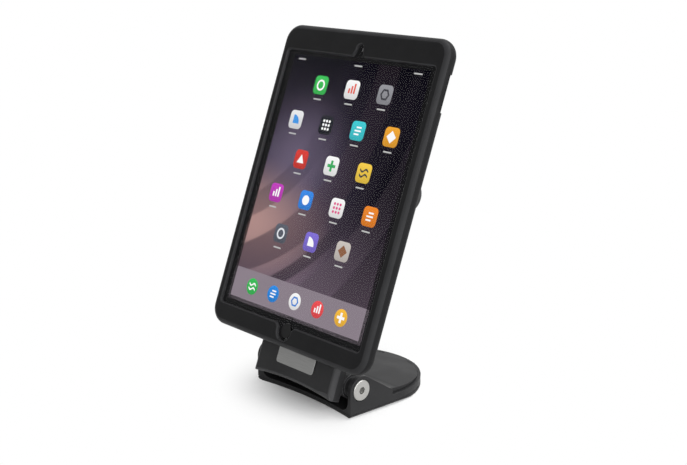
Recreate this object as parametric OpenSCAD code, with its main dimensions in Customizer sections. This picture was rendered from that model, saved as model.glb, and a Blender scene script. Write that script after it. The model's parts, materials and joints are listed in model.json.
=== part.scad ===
// Tablet security kiosk stand: a weighted foot, a tilting upright, a turning head and a cased tablet.
// Millimetres. +X is the viewer's right, -Y the front and +Z up.
// The origin lies on the table, under the centre of the round foot.

/* [Tablet] */
// Width of the tablet
tablet_w = 169.5; // [160:0.5:190]
// Height of the tablet
tablet_h = 240; // [225:0.5:260]
// Thickness of the tablet with its glass
tablet_t = 7.5; // [7:0.1:10]
// Corner radius of the tablet
tablet_corner_r = 10; // [7:0.5:13]
// Thickness of the front glass
glass_t = 0.8; // [0.5:0.1:1.2]
// Wall of the aluminium housing
housing_wall = 1.4; // [1:0.1:2]
// Black border of the glass at the sides of the lit screen
bezel_side = 10.85; // [8:0.05:14]
// Black border of the glass at the ends of the lit screen
bezel_end = 21.45; // [20:0.05:26]
// Thickness of the screen module
display_t = 1.9; // [1.2:0.1:2.2]
// Radius of the home button
home_r = 5.5; // [4:0.1:6]
// Distance of the home button from the lower edge
home_inset = 10; // [9.5:0.1:11]
// Distance of the front camera from the upper edge
camera_inset = 12; // [11:0.1:13]
// Length of each side button
button_l = 9; // [6:0.5:10]
// Travel of the buttons
button_travel = 0.4; // [0.2:0.05:0.6]

/* [Case] */
// Rubber wall at the long sides
case_side_wall = 3.6; // [3:0.1:5]
// Rubber wall at the short sides
case_end_wall = 2.4; // [2:0.1:4]
// Height of the front lip above the glass
lip_rise = 2.5; // [2:0.1:3.5]
// Thickness of the rubber behind the tablet
case_back_t = 2.9; // [2.5:0.1:4]
// Corner radius of the case, seen from the front
case_corner_r = 14; // [12:0.5:18]
// Rounding of the front edges
front_edge_r = 5.5; // [3:0.1:5.5]
// Rounding of the rear edges
back_edge_r = 6.8; // [3:0.1:7]
// Border of black glass left free at the sides of the screen
window_margin = 6.1; // [2:0.1:7]
// Border of black glass left free at the ends of the screen
window_end_margin = 5; // [3:0.1:6]
// Distance of the window's middle below the middle of the screen
window_drop = 2; // [0:0.1:2.5]
// Width of the rear rim of the case
back_rim = 13; // [10:0.5:18]
// Half width of the notch around the home button
notch_r = 7.6; // [7:0.1:9]
// Radius of the notch around the front camera
camera_notch_r = 3.4; // [2.5:0.1:5]
// Length of the cut-out at the volume buttons
volume_cut_l = 28; // [24:0.5:36]
// Middle of the volume cut-out below the upper edge of the tablet
volume_inset = 35; // [30:0.5:45]

/* [Head] */
// Height of the turning axis above the middle of the screen
swivel_v = 10; // [0:0.5:15]
// Distance of the mounting bar's ends inside the sides of the case
bar_inset = 6.5; // [6:0.1:20]
// Width of the mounting bar
bar_h = 26; // [20:1:40]
// Thickness of the mounting bar
bar_t = 7; // [6:0.1:9]
// Rim of the round middle of the mounting bar around the spindle flange
bar_hub_rim = 8; // [6:0.1:12]
// Radius of the turning spindle
spindle_r = 14; // [10:0.5:15]
// Wall of the plain bearing around the spindle
bearing_wall = 3; // [2:0.1:4]
// Clear ring inside the rear cover between the retainer and the screw bosses
cover_room = 2.7; // [1:0.1:5]
// Depth of the rear cover
cover_depth = 14; // [13:0.5:18]
// Wall of the rear cover
cover_wall = 2.5; // [2:0.1:3]
// Radius of the turning lock plug
lock_r = 6; // [4:0.1:6.5]

/* [Upright] */
// Angle by which the tablet leans back at rest
lean = 20.8; // [12:0.1:30]
// Distance along the tablet from the hinge to the middle of the screen
reach_v = 136.5; // [134:0.1:150]
// Distance of the glass in front of the hinge
reach_n = 38.6; // [38:0.1:46]
// Width of the upright
upright_w = 88; // [76:1:90]
// Thickness of the upright
upright_t = 7; // [6:0.1:8]
// Distance of the lower edge below the hinge, along the upright
upright_drop = 13.2; // [8:0.1:13.5]
// Rise of the arched lower edge
arch_rise = 3; // [2:0.1:6]
// Extra thickness of the lower part
foot_flare = 4; // [2:0.1:4.5]
// Width of the web between upright and barrel
web_w = 56; // [40:1:70]
// Radius of the hinge barrel
barrel_r = 9.5; // [8.5:0.1:9.8]
// Length of the barrel's necks past each side of the upright
barrel_out = 4.7; // [2:0.1:6]
// Radius of the barrel's necks
neck_r = 7.6; // [7.4:0.1:8.4]
// Width of the front plate
badge_w = 42; // [30:0.5:60]
// Height of the front plate
badge_h = 20; // [12:0.5:24]

/* [Foot] */
// Radius of the round foot
base_r = 55.4; // [54.5:0.1:68]
// Distance of the front edge before the hinge
toe_l = 11.2; // [11.2:0.1:16]
// Thickness of the hinge cheeks at the front edge
cheek_w = 3.7; // [3.5:0.1:6]
// Depth of the hollow curve in the front edge
front_hollow = 5; // [2:0.1:6]
// Thickness of the rubber pad
pad_t = 0.7; // [0.5:0.1:1.2]
// Thickness of the lower plate
plate_t = 2.7; // [2.5:0.1:3.4]
// Height of the ledge around the foot
ledge_z = 8.5; // [8.1:0.1:8.9]
// Width of the ledge around the foot
ledge_w = 2.6; // [1.5:0.1:4]
// Height of the sloping top at the foot's centre
top_z = 12; // [11.8:0.1:14.3]
// Fall of the sloping top towards the back, in degrees
top_slope = 3.95; // [2:0.05:4]
// Distance of the hinge before the foot's centre
hinge_front = 39.9; // [38:0.1:41]
// Gap between the hinge barrel and the pocket's floor
floor_gap = 6.8; // [5.5:0.1:8]
// Rim of the rounded cheek tops around the hinge barrel
cheek_rim = 1.5; // [1:0.1:3]
// Slope of the flank behind the cheeks, in degrees
flank_slope = 33.3; // [30:0.1:38]
// Gap for a washer between the barrel and each cheek
side_gap = 2; // [1.6:0.1:3]
// Radius of the hinge bolt
bolt_r = 4; // [3:0.1:4.5]
// Radius of the bolt head
bolt_head_r = 8; // [7:0.1:9]
// Distance between the two threaded fixing holes
fixing_pitch = 50; // [40:1:60]
// Radius of the threaded fixing holes
fixing_r = 2.1; // [1.6:0.1:2.6]

/* [Hidden] */
$fn = 64;

// Clearances
fit = 0.15;
run_fit = 0.05;
thread_fit = 0.05;
thrust_gap = 0.2;
over = 1;

// Tablet and case
mask_t = 0.3;
glass_back = -glass_t;
mask_back = glass_back - mask_t;
display_back = mask_back - display_t;
screen_w = tablet_w - 2 * bezel_side;
screen_h = tablet_h - 2 * bezel_end;
tablet_back = -tablet_t;
housing_floor = tablet_back + housing_wall;
home_v = -(tablet_h / 2 - home_inset);
camera_v = tablet_h / 2 - camera_inset;
case_w = tablet_w + 2 * (fit + case_side_wall);
case_h = tablet_h + 2 * (fit + case_end_wall);
case_back_n = tablet_back - fit - case_back_t;
case_depth = lip_rise - case_back_n;
edge_land = 0.5;
rear_round_r = min(back_edge_r, case_depth - front_edge_r - edge_land);
window_w = screen_w + 2 * window_margin;
window_h = screen_h + 2 * window_end_margin;
window_r = 2.5;
notch_flare = 3;
camera_flare = 2.6;
camera_flare_a = 35;
panel_w = case_w - 2 * back_rim;
panel_h = case_h - 2 * back_rim;
panel_r = 8;
panel_flange = 4;
panel_flange_t = 1;
panel_skin = 1;
volume_v = tablet_h / 2 - volume_inset;
button_gap = 2.4;
button_h = 1.8;
button_n = housing_floor + fit + button_h / 2;
button_rest = 0.3;
button_flange = 0.8;
button_room = 0.25;
side_cut_top = button_n + button_h / 2 + button_room;
power_inset = 32.75;
power_u = tablet_w / 2 - power_inset;
power_cut_l = 18;
rear_camera_inset = 23;
rear_camera_u = tablet_w / 2 - rear_camera_inset;
rear_camera_v = tablet_h / 2 - rear_camera_inset;
rear_camera_r = 4;
rear_camera_depth = 2.6;
camera_hole_r = 5.5;
front_camera_r = 1.6;
front_camera_t = 1.8;
home_flange = 0.9;
home_flange_t = 0.5;
home_sink = 0.05;
display_border = 2.5;
port_w = 8.6;
port_h = 2.8;
port_cut_w = 20;
port_n = (tablet_back + glass_back) / 2;
port_depth = 7;
port_shell = 0.5;
battery_side = 28.75;
battery_end = 45;
battery_w = tablet_w - 2 * battery_side;
battery_h = tablet_h - 2 * battery_end;
battery_gap = 2;
battery_room = 0.7;
cell_t = display_back - housing_floor - battery_room;
board_w = 17;
board_end = 25;
board_h = tablet_h - 2 * board_end;
board_t = 0.9;
chip_t = 1.2;
chip_rows = 5;
chip_margin = 2.5;

// Head, measured along the tablet's own normal
bar_w = case_w - 2 * bar_inset;
bar_back = case_back_n - bar_t;
bar_front_r = 0.5;
bar_edge_r = 2.5;
bearing_flange_t = 0.8;
upright_front = bar_back - thrust_gap - bearing_flange_t;
upright_back = upright_front - upright_t;
bearing_r = spindle_r + bearing_wall;
bearing_flange_w = 7;
bearing_flange_r = bearing_r + bearing_flange_w;
spindle_flange_w = 6;
spindle_flange_r = spindle_r + spindle_flange_w;
spindle_flange_t = 3;
spindle_bore_r = 5;
bar_hub_r = spindle_flange_r + bar_hub_rim;
retainer_lip = 5;
retainer_r = bearing_r + retainer_lip;
retainer_t = 3;
retainer_front = upright_back - thrust_gap;
retainer_back = retainer_front - retainer_t;
cover_back = upright_back - cover_depth;
cover_edge_r = 4;
cover_boss_r = 4;
cover_boss_gap = 0.8;
cover_screw_at = retainer_r + cover_room + cover_boss_r;
cover_r = cover_screw_at + cover_boss_r + cover_boss_gap + cover_wall;
lock_wall = 3.5;
lock_outer_r = lock_r + lock_wall;
lock_flange_w = 2;
lock_flange_r = lock_outer_r + lock_flange_w;
lock_flange_t = 1.5;
cam_t = 1.8;
cam_gap = 0.4;
cam_front = retainer_back - cam_gap;
cam_back = cam_front - cam_t;
cam_l = 15;
keyway_w = 1.5;
keyway_h = 7;
keyway_depth = 4;

// Upright
hinge_v = -reach_v;
hinge_n = -reach_n;
upright_low = hinge_v - upright_drop;
arch_r = (pow(upright_w / 2, 2) + pow(arch_rise, 2)) / (2 * arch_rise);
flare_l = 44;
flare_fade = 20;
web_rise = 26;
web_turn = 20;
cover_screw_skin = 2;
badge_t = 1.4;
badge_recess = 0.6;
badge_corner_r = 2;
badge_rise = 12.7;
badge_low = upright_low + badge_rise;
bush_wall = 2;
bush_l = 12;

// Foot
plate_top = pad_t + plate_t;
pad_inset = 1;
hinge_y = -hinge_front;
pocket_floor = 0.8;
seam_h = 0.6;
seam_d = 0.5;
hinge_z = plate_top + pocket_floor + floor_gap + barrel_r;
cheek_r = barrel_r + cheek_rim;
base_front = hinge_front + toe_l;
barrel_w = upright_w + 2 * barrel_out;
pocket_w = barrel_w + 2 * side_gap;
front_half_w = pocket_w / 2 + cheek_w;
wedge_r = base_r - ledge_w;
groove_h = 0.6;
groove_d = 0.8;
ledge_start = 8;
pocket_back_gap = 1.6;
pocket_r = 9;
seat_sink = 1.5;
cheek_seat_x = front_half_w - seat_sink;
bolt_head_t = 2.2;
bolt_chamfer = 0.5;
bolt_seat_gap = 0.4;
hex_af = 5;
hex_depth = 1.8;
nut_wall = 2;
nut_r = bolt_r + nut_wall;
washer_gap = 0.1;
leaf_share = 0.4;
washer_step = 0.2;
washer_r = neck_r - washer_step;
tangent_a = -atan2(base_front, front_half_w) + acos(base_r / norm([base_front, front_half_w]));
edge_soft_r = 3;
pad_half_w = front_half_w - edge_soft_r;
edge_cross = 0.15;
blend_r = 22;

// Fasteners
screw_r = 1.5;
screw_head_r = 3;
base_screw_r = 2;
base_screw_head_r = 3.8;
base_screw_bite = 2.4;
base_screw_top = plate_top + base_screw_bite;
base_screw_x = 36;
base_screw_front = -14;
base_screw_rear = 26;
fixing_bite = 3.6;
fixing_top = plate_top + fixing_bite;
spindle_screw_r = 1.2;
spindle_screw_head_r = 2.2;
spindle_screw_l = bar_t - over;
retainer_screw_r = 1.5;
retainer_screw_head_r = 2.8;
retainer_screw_l = 9;

// Half width of the foot's straight flank at a distance y, for a foot drawn in by inset
function flank_x(y, inset = 0) = (base_r - inset - y * sin(tangent_a)) / cos(tangent_a);

// Point where a line through p touches the front of a circle of radius r around c
function front_touch(p, c, r) =
    let (d = p - c, a = atan2(d[1], d[0]) - acos(r / norm(d))) c + r * [cos(a), sin(a)];

// Frame of the tablet: x to the right, y up along the glass, z out of the glass
module in_tablet() {
    translate([0, hinge_y, hinge_z])
        rotate([90 - lean, 0, 0])
            translate([0, reach_v, reach_n])
                children();
}

// Frame of the turning axis behind the tablet
module in_head() {
    in_tablet() translate([0, swivel_v, 0]) children();
}

// Frame of the hinge axis: z runs along the axis towards the viewer's right
module in_hinge() {
    translate([0, hinge_y, hinge_z]) rotate([90, 0, 90]) children();
}

// Rounded rectangle around the origin
module round_rect(w, h, r) {
    if (w > 2 * r) square([w - 2 * r, h], center = true);
    if (h > 2 * r) square([w, h - 2 * r], center = true);
    for (x = w > 2 * r ? [-1, 1] : [0], y = h > 2 * r ? [-1, 1] : [0])
        translate([x * (w / 2 - r), y * (h / 2 - r)]) circle(r);
}

// Cross-section of a slab's edge with its front and rear rounding
module edge_section(depth, t, front_r, back_r) {
    difference() {
        square([depth, t]);
        translate([depth - front_r, t - front_r]) difference() {
            square(front_r + over);
            circle(front_r);
        }
        translate([depth - back_r, back_r]) mirror([0, 1]) difference() {
            square(back_r + over);
            circle(back_r);
        }
    }
}

// Slab with rounded corners and rounded front and rear edges, its back at z = 0
module soft_slab(w, h, r, t, front_r, back_r) {
    edge = max(front_r, back_r);
    linear_extrude(t) round_rect(w - 2 * edge, h - 2 * edge, r - edge);
    for (turn = [0 : 3]) {
        across = turn % 2 == 0 ? w : h;
        along = (turn % 2 == 0 ? h : w) - 2 * r;
        rotate(90 * turn) {
            if (along > 0)
                translate([across / 2 - edge, along / 2, 0]) rotate([90, 0, 0])
                    linear_extrude(along) edge_section(edge, t, front_r, back_r);
            translate([across / 2 - r, along / 2, 0])
                rotate_extrude(angle = 90)
                    translate([r - edge, 0]) edge_section(edge, t, front_r, back_r);
        }
    }
}

// Screw with a flat countersunk head, its top at z = 0 and its shank towards -z
module flat_screw(r, head_r, length) {
    drive_r = head_r * 0.45;
    difference() {
        union() {
            translate([0, 0, -length]) cylinder(r = r, h = length);
            translate([0, 0, r - head_r]) cylinder(r1 = r, r2 = head_r, h = head_r - r);
        }
        translate([0, 0, -r * 0.6]) cylinder(r = drive_r, h = r, $fn = 6);
    }
}

// Hole for such a screw
module flat_screw_hole(r, head_r, length) {
    translate([0, 0, -length]) cylinder(r = r + thread_fit, h = length + over);
    translate([0, 0, r - head_r])
        cylinder(r1 = r + thread_fit, r2 = head_r + thread_fit, h = head_r - r);
    cylinder(r = head_r + thread_fit, h = over);
}

// Plan of the foot: a disc with straight flanks to a hollow front edge
module foot_plan(inset = 0) {
    r = base_r - inset;
    front = base_front - inset;
    corner_x = flank_x(-front, inset);
    hollow_r = (pow(corner_x, 2) + pow(front_hollow, 2)) / (2 * front_hollow);
    touch = r * [cos(tangent_a), sin(tangent_a)];
    difference() {
        union() {
            circle(r, $fn = 96);
            polygon([[corner_x, -front], touch, [-touch[0], touch[1]], [-corner_x, -front]]);
        }
        translate([0, -front + front_hollow - hollow_r + edge_cross]) circle(hollow_r, $fn = 96);
    }
}

// Side view of the casting below its round cheek tops; x is the depth, y the height
module foot_profile() {
    centre = [hinge_y, hinge_z];
    toe = -base_front - edge_cross;
    heel = [toe, plate_top];
    front_tangent = front_touch([toe, 0], centre, cheek_r);
    rear_tangent = centre + cheek_r * [sin(flank_slope), cos(flank_slope)];
    flank_y = (rear_tangent[1] + rear_tangent[0] * tan(flank_slope) - top_z)
        / (tan(flank_slope) - tan(top_slope));
    rear = base_r + over;
    bend = [flank_y, top_z - flank_y * tan(top_slope)];
    blend_l = blend_r * tan((flank_slope - top_slope) / 2);
    up_flank = bend + blend_l * [-cos(flank_slope), sin(flank_slope)];
    down_top = bend + blend_l * [cos(top_slope), -sin(top_slope)];
    difference() {
        polygon([heel, front_tangent, centre, rear_tangent, up_flank, down_top,
            [rear, top_z - rear * tan(top_slope)], [rear, plate_top]]);
        translate(down_top + blend_r * [sin(top_slope), cos(top_slope)] - [0, edge_cross])
            circle(blend_r, $fn = 96);
    }
}

// Cutter that rounds the lower edge of the right flank and runs out where the foot turns round
module flank_rounding() {
    inset = edge_soft_r - edge_cross;
    translate([flank_x(-base_front), -base_front, pad_t])
        rotate([90, 0, tangent_a])
            translate([-inset, inset, -2 * base_front])
                linear_extrude(3 * base_front)
                    mirror([0, 1]) difference() {
                        square(edge_soft_r + over);
                        circle(edge_soft_r);
                    }
}

// Hinge pocket between the cheeks, a channel with rounded lower corners
module hinge_pocket() {
    back = hinge_y + barrel_r + pocket_back_gap;
    height = 3 * hinge_z;
    translate([0, back, plate_top + pocket_floor + height / 2])
        rotate([90, 0, 0])
            linear_extrude(base_front + over + back) round_rect(pocket_w, height, pocket_r);
}

// Cast foot with cheeks, hinge pocket, ledge and sloping top
module base_body() {
    color("dimgray") difference() {
        intersection() {
            translate([0, 0, plate_top]) linear_extrude(hinge_z + cheek_r) foot_plan();
            union() {
                rotate([90, 0, 90]) translate([0, 0, -base_r - over])
                    linear_extrude(2 * (base_r + over)) foot_profile();
                in_hinge() translate([0, 0, -base_r - over])
                    cylinder(r = cheek_r, h = 2 * (base_r + over));
            }
        }
        difference() {
            translate([-2 * base_r, -ledge_start, ledge_z]) cube([4 * base_r, 3 * base_r, top_z]);
            cylinder(r = wedge_r, h = 3 * top_z, $fn = 96);
        }
        translate([0, 0, ledge_z]) difference() {
            translate([-2 * base_r, -ledge_start, 0]) cube([4 * base_r, 3 * base_r, groove_h]);
            translate([0, 0, -over]) cylinder(r = wedge_r - groove_d, h = 2 * top_z, $fn = 96);
        }
        hinge_pocket();
        flank_rounding();
        mirror([1, 0, 0]) flank_rounding();
        in_hinge() translate([0, 0, -2 * base_r]) cylinder(r = bolt_r + run_fit, h = 4 * base_r);
        in_hinge() translate([0, 0, cheek_seat_x]) cylinder(r = bolt_head_r + bolt_seat_gap, h = base_r);
        in_hinge() translate([0, 0, -cheek_seat_x - base_r])
            cylinder(r = bolt_head_r + bolt_seat_gap, h = base_r);
        in_hinge() translate([0, 0, -cheek_seat_x - over])
            cylinder(r = nut_r + thread_fit, h = cheek_seat_x + over - pocket_w / 2);
        at_base_screws() translate([0, 0, plate_top - over])
            cylinder(r = base_screw_r + thread_fit, h = base_screw_top - plate_top + over);
        at_fixings() translate([0, 0, plate_top - over])
            cylinder(r = fixing_r, h = fixing_top - plate_top + over);
    }
}

// Places of the screws that hold the lower plate
module at_base_screws() {
    for (x = [-base_screw_x, base_screw_x], y = [base_screw_front, base_screw_rear])
        translate([x, y, 0]) children();
}

// Places of the threaded holes that fix the foot to a counter
module at_fixings() {
    for (x = [-fixing_pitch / 2, fixing_pitch / 2]) translate([x, 0, 0]) children();
}

// Steel plate that closes and weights the foot, with a narrow seam under the casting
module base_plate() {
    color("dimgray") difference() {
        union() {
            translate([0, 0, pad_t]) linear_extrude(plate_t - seam_h) foot_plan();
            translate([0, 0, pad_t]) linear_extrude(plate_t) foot_plan(seam_d);
        }
        at_base_screws() translate([0, 0, pad_t]) mirror([0, 0, 1])
            flat_screw_hole(base_screw_r, base_screw_head_r, plate_t + over);
        at_fixings() cylinder(r = fixing_r, h = plate_top + over);
        flank_rounding();
        mirror([1, 0, 0]) flank_rounding();
    }
}

// Rubber pad under the plate
module foot_pad() {
    color("black") difference() {
        linear_extrude(pad_t) intersection() {
            foot_plan(pad_inset);
            square([2 * pad_half_w, 4 * base_r], center = true);
        }
        at_fixings() translate([0, 0, -over]) cylinder(r = 2 * fixing_r, h = pad_t + 2 * over);
    }
}

// Countersunk screws of the lower plate
module base_screws() {
    color("silver") at_base_screws() translate([0, 0, pad_t]) mirror([0, 0, 1])
        flat_screw(base_screw_r, base_screw_head_r, base_screw_top - pad_t - fit);
}

// Hinge bolt with a flat round head and a hex socket
module hinge_bolt() {
    color("gainsboro") in_hinge() difference() {
        union() {
            translate([0, 0, cheek_seat_x]) rotate_extrude() bolt_head_section();
            translate([0, 0, -cheek_seat_x]) cylinder(r = bolt_r, h = 2 * cheek_seat_x);
        }
        translate([0, 0, cheek_seat_x + bolt_head_t - hex_depth])
            cylinder(r = hex_af / sqrt(3), h = hex_depth + over, $fn = 6);
    }
}

// Half section of the bolt and nut heads, with a small chamfer
module bolt_head_section() {
    polygon([[0, 0], [bolt_head_r, 0], [bolt_head_r, bolt_head_t - bolt_chamfer],
        [bolt_head_r - bolt_chamfer, bolt_head_t], [0, bolt_head_t]]);
}

// Sleeve nut in the other cheek
module hinge_nut() {
    color("gainsboro") in_hinge() mirror([0, 0, 1]) difference() {
        union() {
            translate([0, 0, cheek_seat_x]) rotate_extrude() bolt_head_section();
            translate([0, 0, pocket_w / 2 + fit])
                cylinder(r = nut_r, h = cheek_seat_x - pocket_w / 2 - fit);
        }
        cylinder(r = bolt_r + thread_fit, h = cheek_seat_x + run_fit);
    }
}

// Friction washer between the barrel and the right cheek
module friction_washer() {
    color("ivory") in_hinge() translate([0, 0, barrel_w / 2 + washer_gap]) difference() {
        cylinder(r = washer_r, h = side_gap - 2 * washer_gap);
        translate([0, 0, -over]) cylinder(r = bolt_r + run_fit, h = pocket_w);
    }
}

// Pair of cupped spring washers between the barrel and the left cheek
module disc_springs() {
    gap = side_gap - 2 * washer_gap;
    leaf = gap * leaf_share;
    color("silver") in_hinge() mirror([0, 0, 1])
        translate([0, 0, barrel_w / 2 + washer_gap]) rotate_extrude() {
            polygon([[bolt_r + run_fit, 0], [washer_r, gap / 2 - leaf / 2], [washer_r, gap / 2],
                [bolt_r + run_fit, leaf]]);
            polygon([[bolt_r + run_fit, gap], [washer_r, gap / 2 + leaf / 2], [washer_r, gap / 2],
                [bolt_r + run_fit, gap - leaf]]);
        }
}

// Bushes in the two ends of the hinge barrel
module hinge_bushes() {
    color("tan") in_hinge() for (turn = [0, 180])
        rotate([0, turn, 0]) translate([0, 0, barrel_w / 2 - bush_l]) difference() {
            cylinder(r = bolt_r + bush_wall, h = bush_l);
            translate([0, 0, -over]) cylinder(r = bolt_r + run_fit, h = bush_l + 2 * over);
        }
}

// Front view of the upright: arched foot, straight sides and round head
module upright_outline() {
    difference() {
        union() {
            translate([-upright_w / 2, upright_low])
                square([upright_w, swivel_v - upright_low]);
            translate([0, swivel_v]) circle(upright_w / 2, $fn = 96);
        }
        translate([0, upright_low + arch_rise - arch_r]) circle(arch_r, $fn = 96);
    }
}

// Prism across the upright from a side view given as [height, normal] points
module across(width) {
    rotate([90, 0, 90]) translate([0, 0, -width / 2]) linear_extrude(width) children();
}

// Upright with its web, necked hinge barrel, head bore and recess for the front plate
module upright() {
    color("dimgray") in_tablet() difference() {
        union() {
            translate([0, 0, upright_back]) linear_extrude(upright_t) upright_outline();
            difference() {
                across(upright_w) polygon([[upright_low, upright_back],
                    [upright_low, upright_back - foot_flare],
                    [upright_low + flare_l, upright_back - foot_flare],
                    [upright_low + flare_l + flare_fade, upright_back]]);
                translate([0, upright_low + arch_rise - arch_r, upright_back - 2 * foot_flare])
                    cylinder(r = arch_r, h = 3 * foot_flare, $fn = 96);
            }
            across(web_w) polygon([[hinge_v + web_rise, upright_back],
                [hinge_v + barrel_r * cos(web_turn), hinge_n - barrel_r * sin(web_turn)],
                [hinge_v - barrel_r, hinge_n],
                [upright_low + arch_rise + over, upright_back]]);
            translate([-upright_w / 2, hinge_v, hinge_n]) rotate([0, 90, 0])
                cylinder(r = barrel_r, h = upright_w);
            translate([-barrel_w / 2, hinge_v, hinge_n]) rotate([0, 90, 0])
                cylinder(r = neck_r, h = barrel_w);
        }
        translate([-barrel_w, hinge_v, hinge_n]) rotate([0, 90, 0])
            cylinder(r = bolt_r + 2 * thread_fit + run_fit, h = 2 * barrel_w);
        for (side = [-1, 1])
            translate([side * (barrel_w / 2 - bush_l), hinge_v, hinge_n]) rotate([0, side * 90, 0])
                cylinder(r = bolt_r + bush_wall, h = bush_l + over);
        translate([0, badge_low + badge_h / 2, upright_front - badge_recess])
            linear_extrude(badge_recess + over)
                round_rect(badge_w + 2 * fit, badge_h + 2 * fit, badge_corner_r + fit);
        translate([0, swivel_v, upright_back - over])
            cylinder(r = bearing_r, h = upright_t + 2 * over);
        at_cover_screws() translate([0, swivel_v, upright_back - over])
            cylinder(r = screw_r + thread_fit, h = upright_t - cover_screw_skin + over);
    }
}

// Places of the three screws of the rear cover, around the turning axis
module at_cover_screws() {
    for (turn = [0 : 2])
        translate([cover_screw_at * sin(120 * turn), cover_screw_at * cos(120 * turn), 0]) children();
}

// Bare metal plate on the front of the upright
module badge_plate() {
    color("silver") in_tablet()
        translate([0, badge_low + badge_h / 2, upright_front - badge_recess])
            linear_extrude(badge_t) round_rect(badge_w, badge_h, badge_corner_r);
}

// Flanged plain bearing in the head of the upright
module hub_bearing() {
    color("ivory") in_head() difference() {
        union() {
            translate([0, 0, upright_back]) cylinder(r = bearing_r, h = upright_t);
            translate([0, 0, upright_front]) cylinder(r = bearing_flange_r, h = bearing_flange_t);
        }
        translate([0, 0, upright_back - over])
            cylinder(r = spindle_r + run_fit, h = upright_t + bearing_flange_t + 2 * over);
    }
}

// Round cover over the back of the head, with screw bosses and a hole for the lock
module rear_cover() {
    color("dimgray") in_head() difference() {
        union() {
            translate([0, 0, cover_back]) rotate_extrude() difference() {
                square([cover_r, cover_depth]);
                translate([0, cover_wall]) square([cover_r - cover_wall, cover_depth]);
                translate([cover_r - cover_edge_r, cover_edge_r]) mirror([0, 1]) difference() {
                    square(cover_edge_r + over);
                    circle(cover_edge_r);
                }
            }
            at_cover_screws() translate([0, 0, cover_back + cover_wall / 2])
                cylinder(r = cover_boss_r, h = cover_depth - cover_wall / 2);
        }
        translate([0, 0, cover_back - over]) cylinder(r = lock_outer_r + run_fit, h = cover_depth);
        at_cover_screws() translate([0, 0, cover_back]) mirror([0, 0, 1])
            flat_screw_hole(screw_r, screw_head_r, cover_depth + over);
    }
}

// Screws of the rear cover
module cover_screws() {
    color("silver") in_head() at_cover_screws() translate([0, 0, cover_back]) mirror([0, 0, 1])
        flat_screw(screw_r, screw_head_r, cover_depth + upright_t / 2);
}

// Fixed shell of the key lock
module lock_barrel() {
    color("silver") in_head() difference() {
        union() {
            translate([0, 0, cover_back]) cylinder(r = lock_outer_r, h = cam_back - fit - cover_back);
            translate([0, 0, cover_back - lock_flange_t]) cylinder(r = lock_flange_r, h = lock_flange_t);
        }
        translate([0, 0, cover_back - lock_flange_t - over])
            cylinder(r = lock_r + run_fit, h = cover_depth + lock_flange_t);
    }
}

// Turning plug of the key lock with its keyway
module lock_plug() {
    face = cover_back - lock_flange_t + fit;
    color("gainsboro") in_head() difference() {
        translate([0, 0, face]) cylinder(r = lock_r, h = cam_back - face);
        translate([-keyway_w / 2, -keyway_h / 2, face - over])
            cube([keyway_w, keyway_h, keyway_depth + over]);
    }
}

// Cam on the inner end of the plug
module lock_cam() {
    color("silver") in_head() translate([0, 0, cam_back]) linear_extrude(cam_t) {
        circle(lock_r);
        translate([0, cam_l - lock_r]) circle(lock_r / 2);
        translate([-lock_r / 2, 0]) square([lock_r, cam_l - lock_r]);
    }
}

// Spindle that carries the bar in the bearing
module hub_spindle() {
    color("silver") in_head() difference() {
        union() {
            translate([0, 0, retainer_front]) cylinder(r = spindle_r, h = bar_back - retainer_front);
            translate([0, 0, bar_back]) cylinder(r = spindle_flange_r, h = spindle_flange_t);
        }
        translate([0, 0, retainer_front - over])
            cylinder(r = spindle_bore_r, h = bar_back + spindle_flange_t - retainer_front + 2 * over);
        at_spindle_screws() translate([0, 0, bar_back]) mirror([0, 0, 1])
            flat_screw_hole(spindle_screw_r, spindle_screw_head_r, spindle_flange_t + over);
        at_retainer_screws() translate([0, 0, retainer_front - over])
            cylinder(r = retainer_screw_r + thread_fit, h = retainer_screw_l - retainer_t + over + fit);
    }
}

// Places of the screws of the spindle flange
module at_spindle_screws() {
    for (turn = [0 : 3])
        rotate(45 + 90 * turn) translate([(spindle_r + spindle_flange_r) / 2, 0, 0]) children();
}

// Places of the screws of the retainer
module at_retainer_screws() {
    for (turn = [0 : 2])
        rotate(120 * turn) translate([(spindle_r + spindle_bore_r) / 2, 0, 0]) children();
}

// Screws of the spindle flange
module spindle_screws() {
    color("silver") in_head() at_spindle_screws() translate([0, 0, bar_back]) mirror([0, 0, 1])
        flat_screw(spindle_screw_r, spindle_screw_head_r, spindle_screw_l - fit);
}

// Disc that keeps the spindle in its bearing
module hub_retainer() {
    color("silver") in_head() difference() {
        translate([0, 0, retainer_back]) cylinder(r = retainer_r, h = retainer_t);
        at_retainer_screws() translate([0, 0, retainer_back]) mirror([0, 0, 1])
            flat_screw_hole(retainer_screw_r, retainer_screw_head_r, retainer_t + over);
    }
}

// Screws of the retainer
module retainer_screws() {
    color("silver") in_head() at_retainer_screws() translate([0, 0, retainer_back]) mirror([0, 0, 1])
        flat_screw(retainer_screw_r, retainer_screw_head_r, retainer_screw_l);
}

// Places of the screws that join the bar to the rear panel of the case
module at_bar_screws() {
    for (side = [-1, 1], at = [bar_hub_r + bar_h / 4, bar_w / 2 - bar_h / 2])
        translate([side * at, 0, 0]) children();
}

// Bar with rounded ends and a round middle that carries the case
module mount_bar() {
    color("dimgray") in_head() difference() {
        union() {
            translate([0, 0, bar_back])
                soft_slab(bar_w, bar_h, bar_h / 2, bar_t, bar_front_r, bar_edge_r);
            translate([0, 0, bar_back]) cylinder(r = bar_hub_r, h = bar_t);
        }
        translate([0, 0, bar_back - over])
            cylinder(r = spindle_flange_r + run_fit, h = spindle_flange_t + over);
        at_spindle_screws() translate([0, 0, bar_back])
            cylinder(r = spindle_screw_r + thread_fit, h = spindle_screw_l);
        at_bar_screws() translate([0, 0, bar_back]) mirror([0, 0, 1])
            flat_screw_hole(screw_r, screw_head_r, bar_t + over);
    }
}

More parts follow.
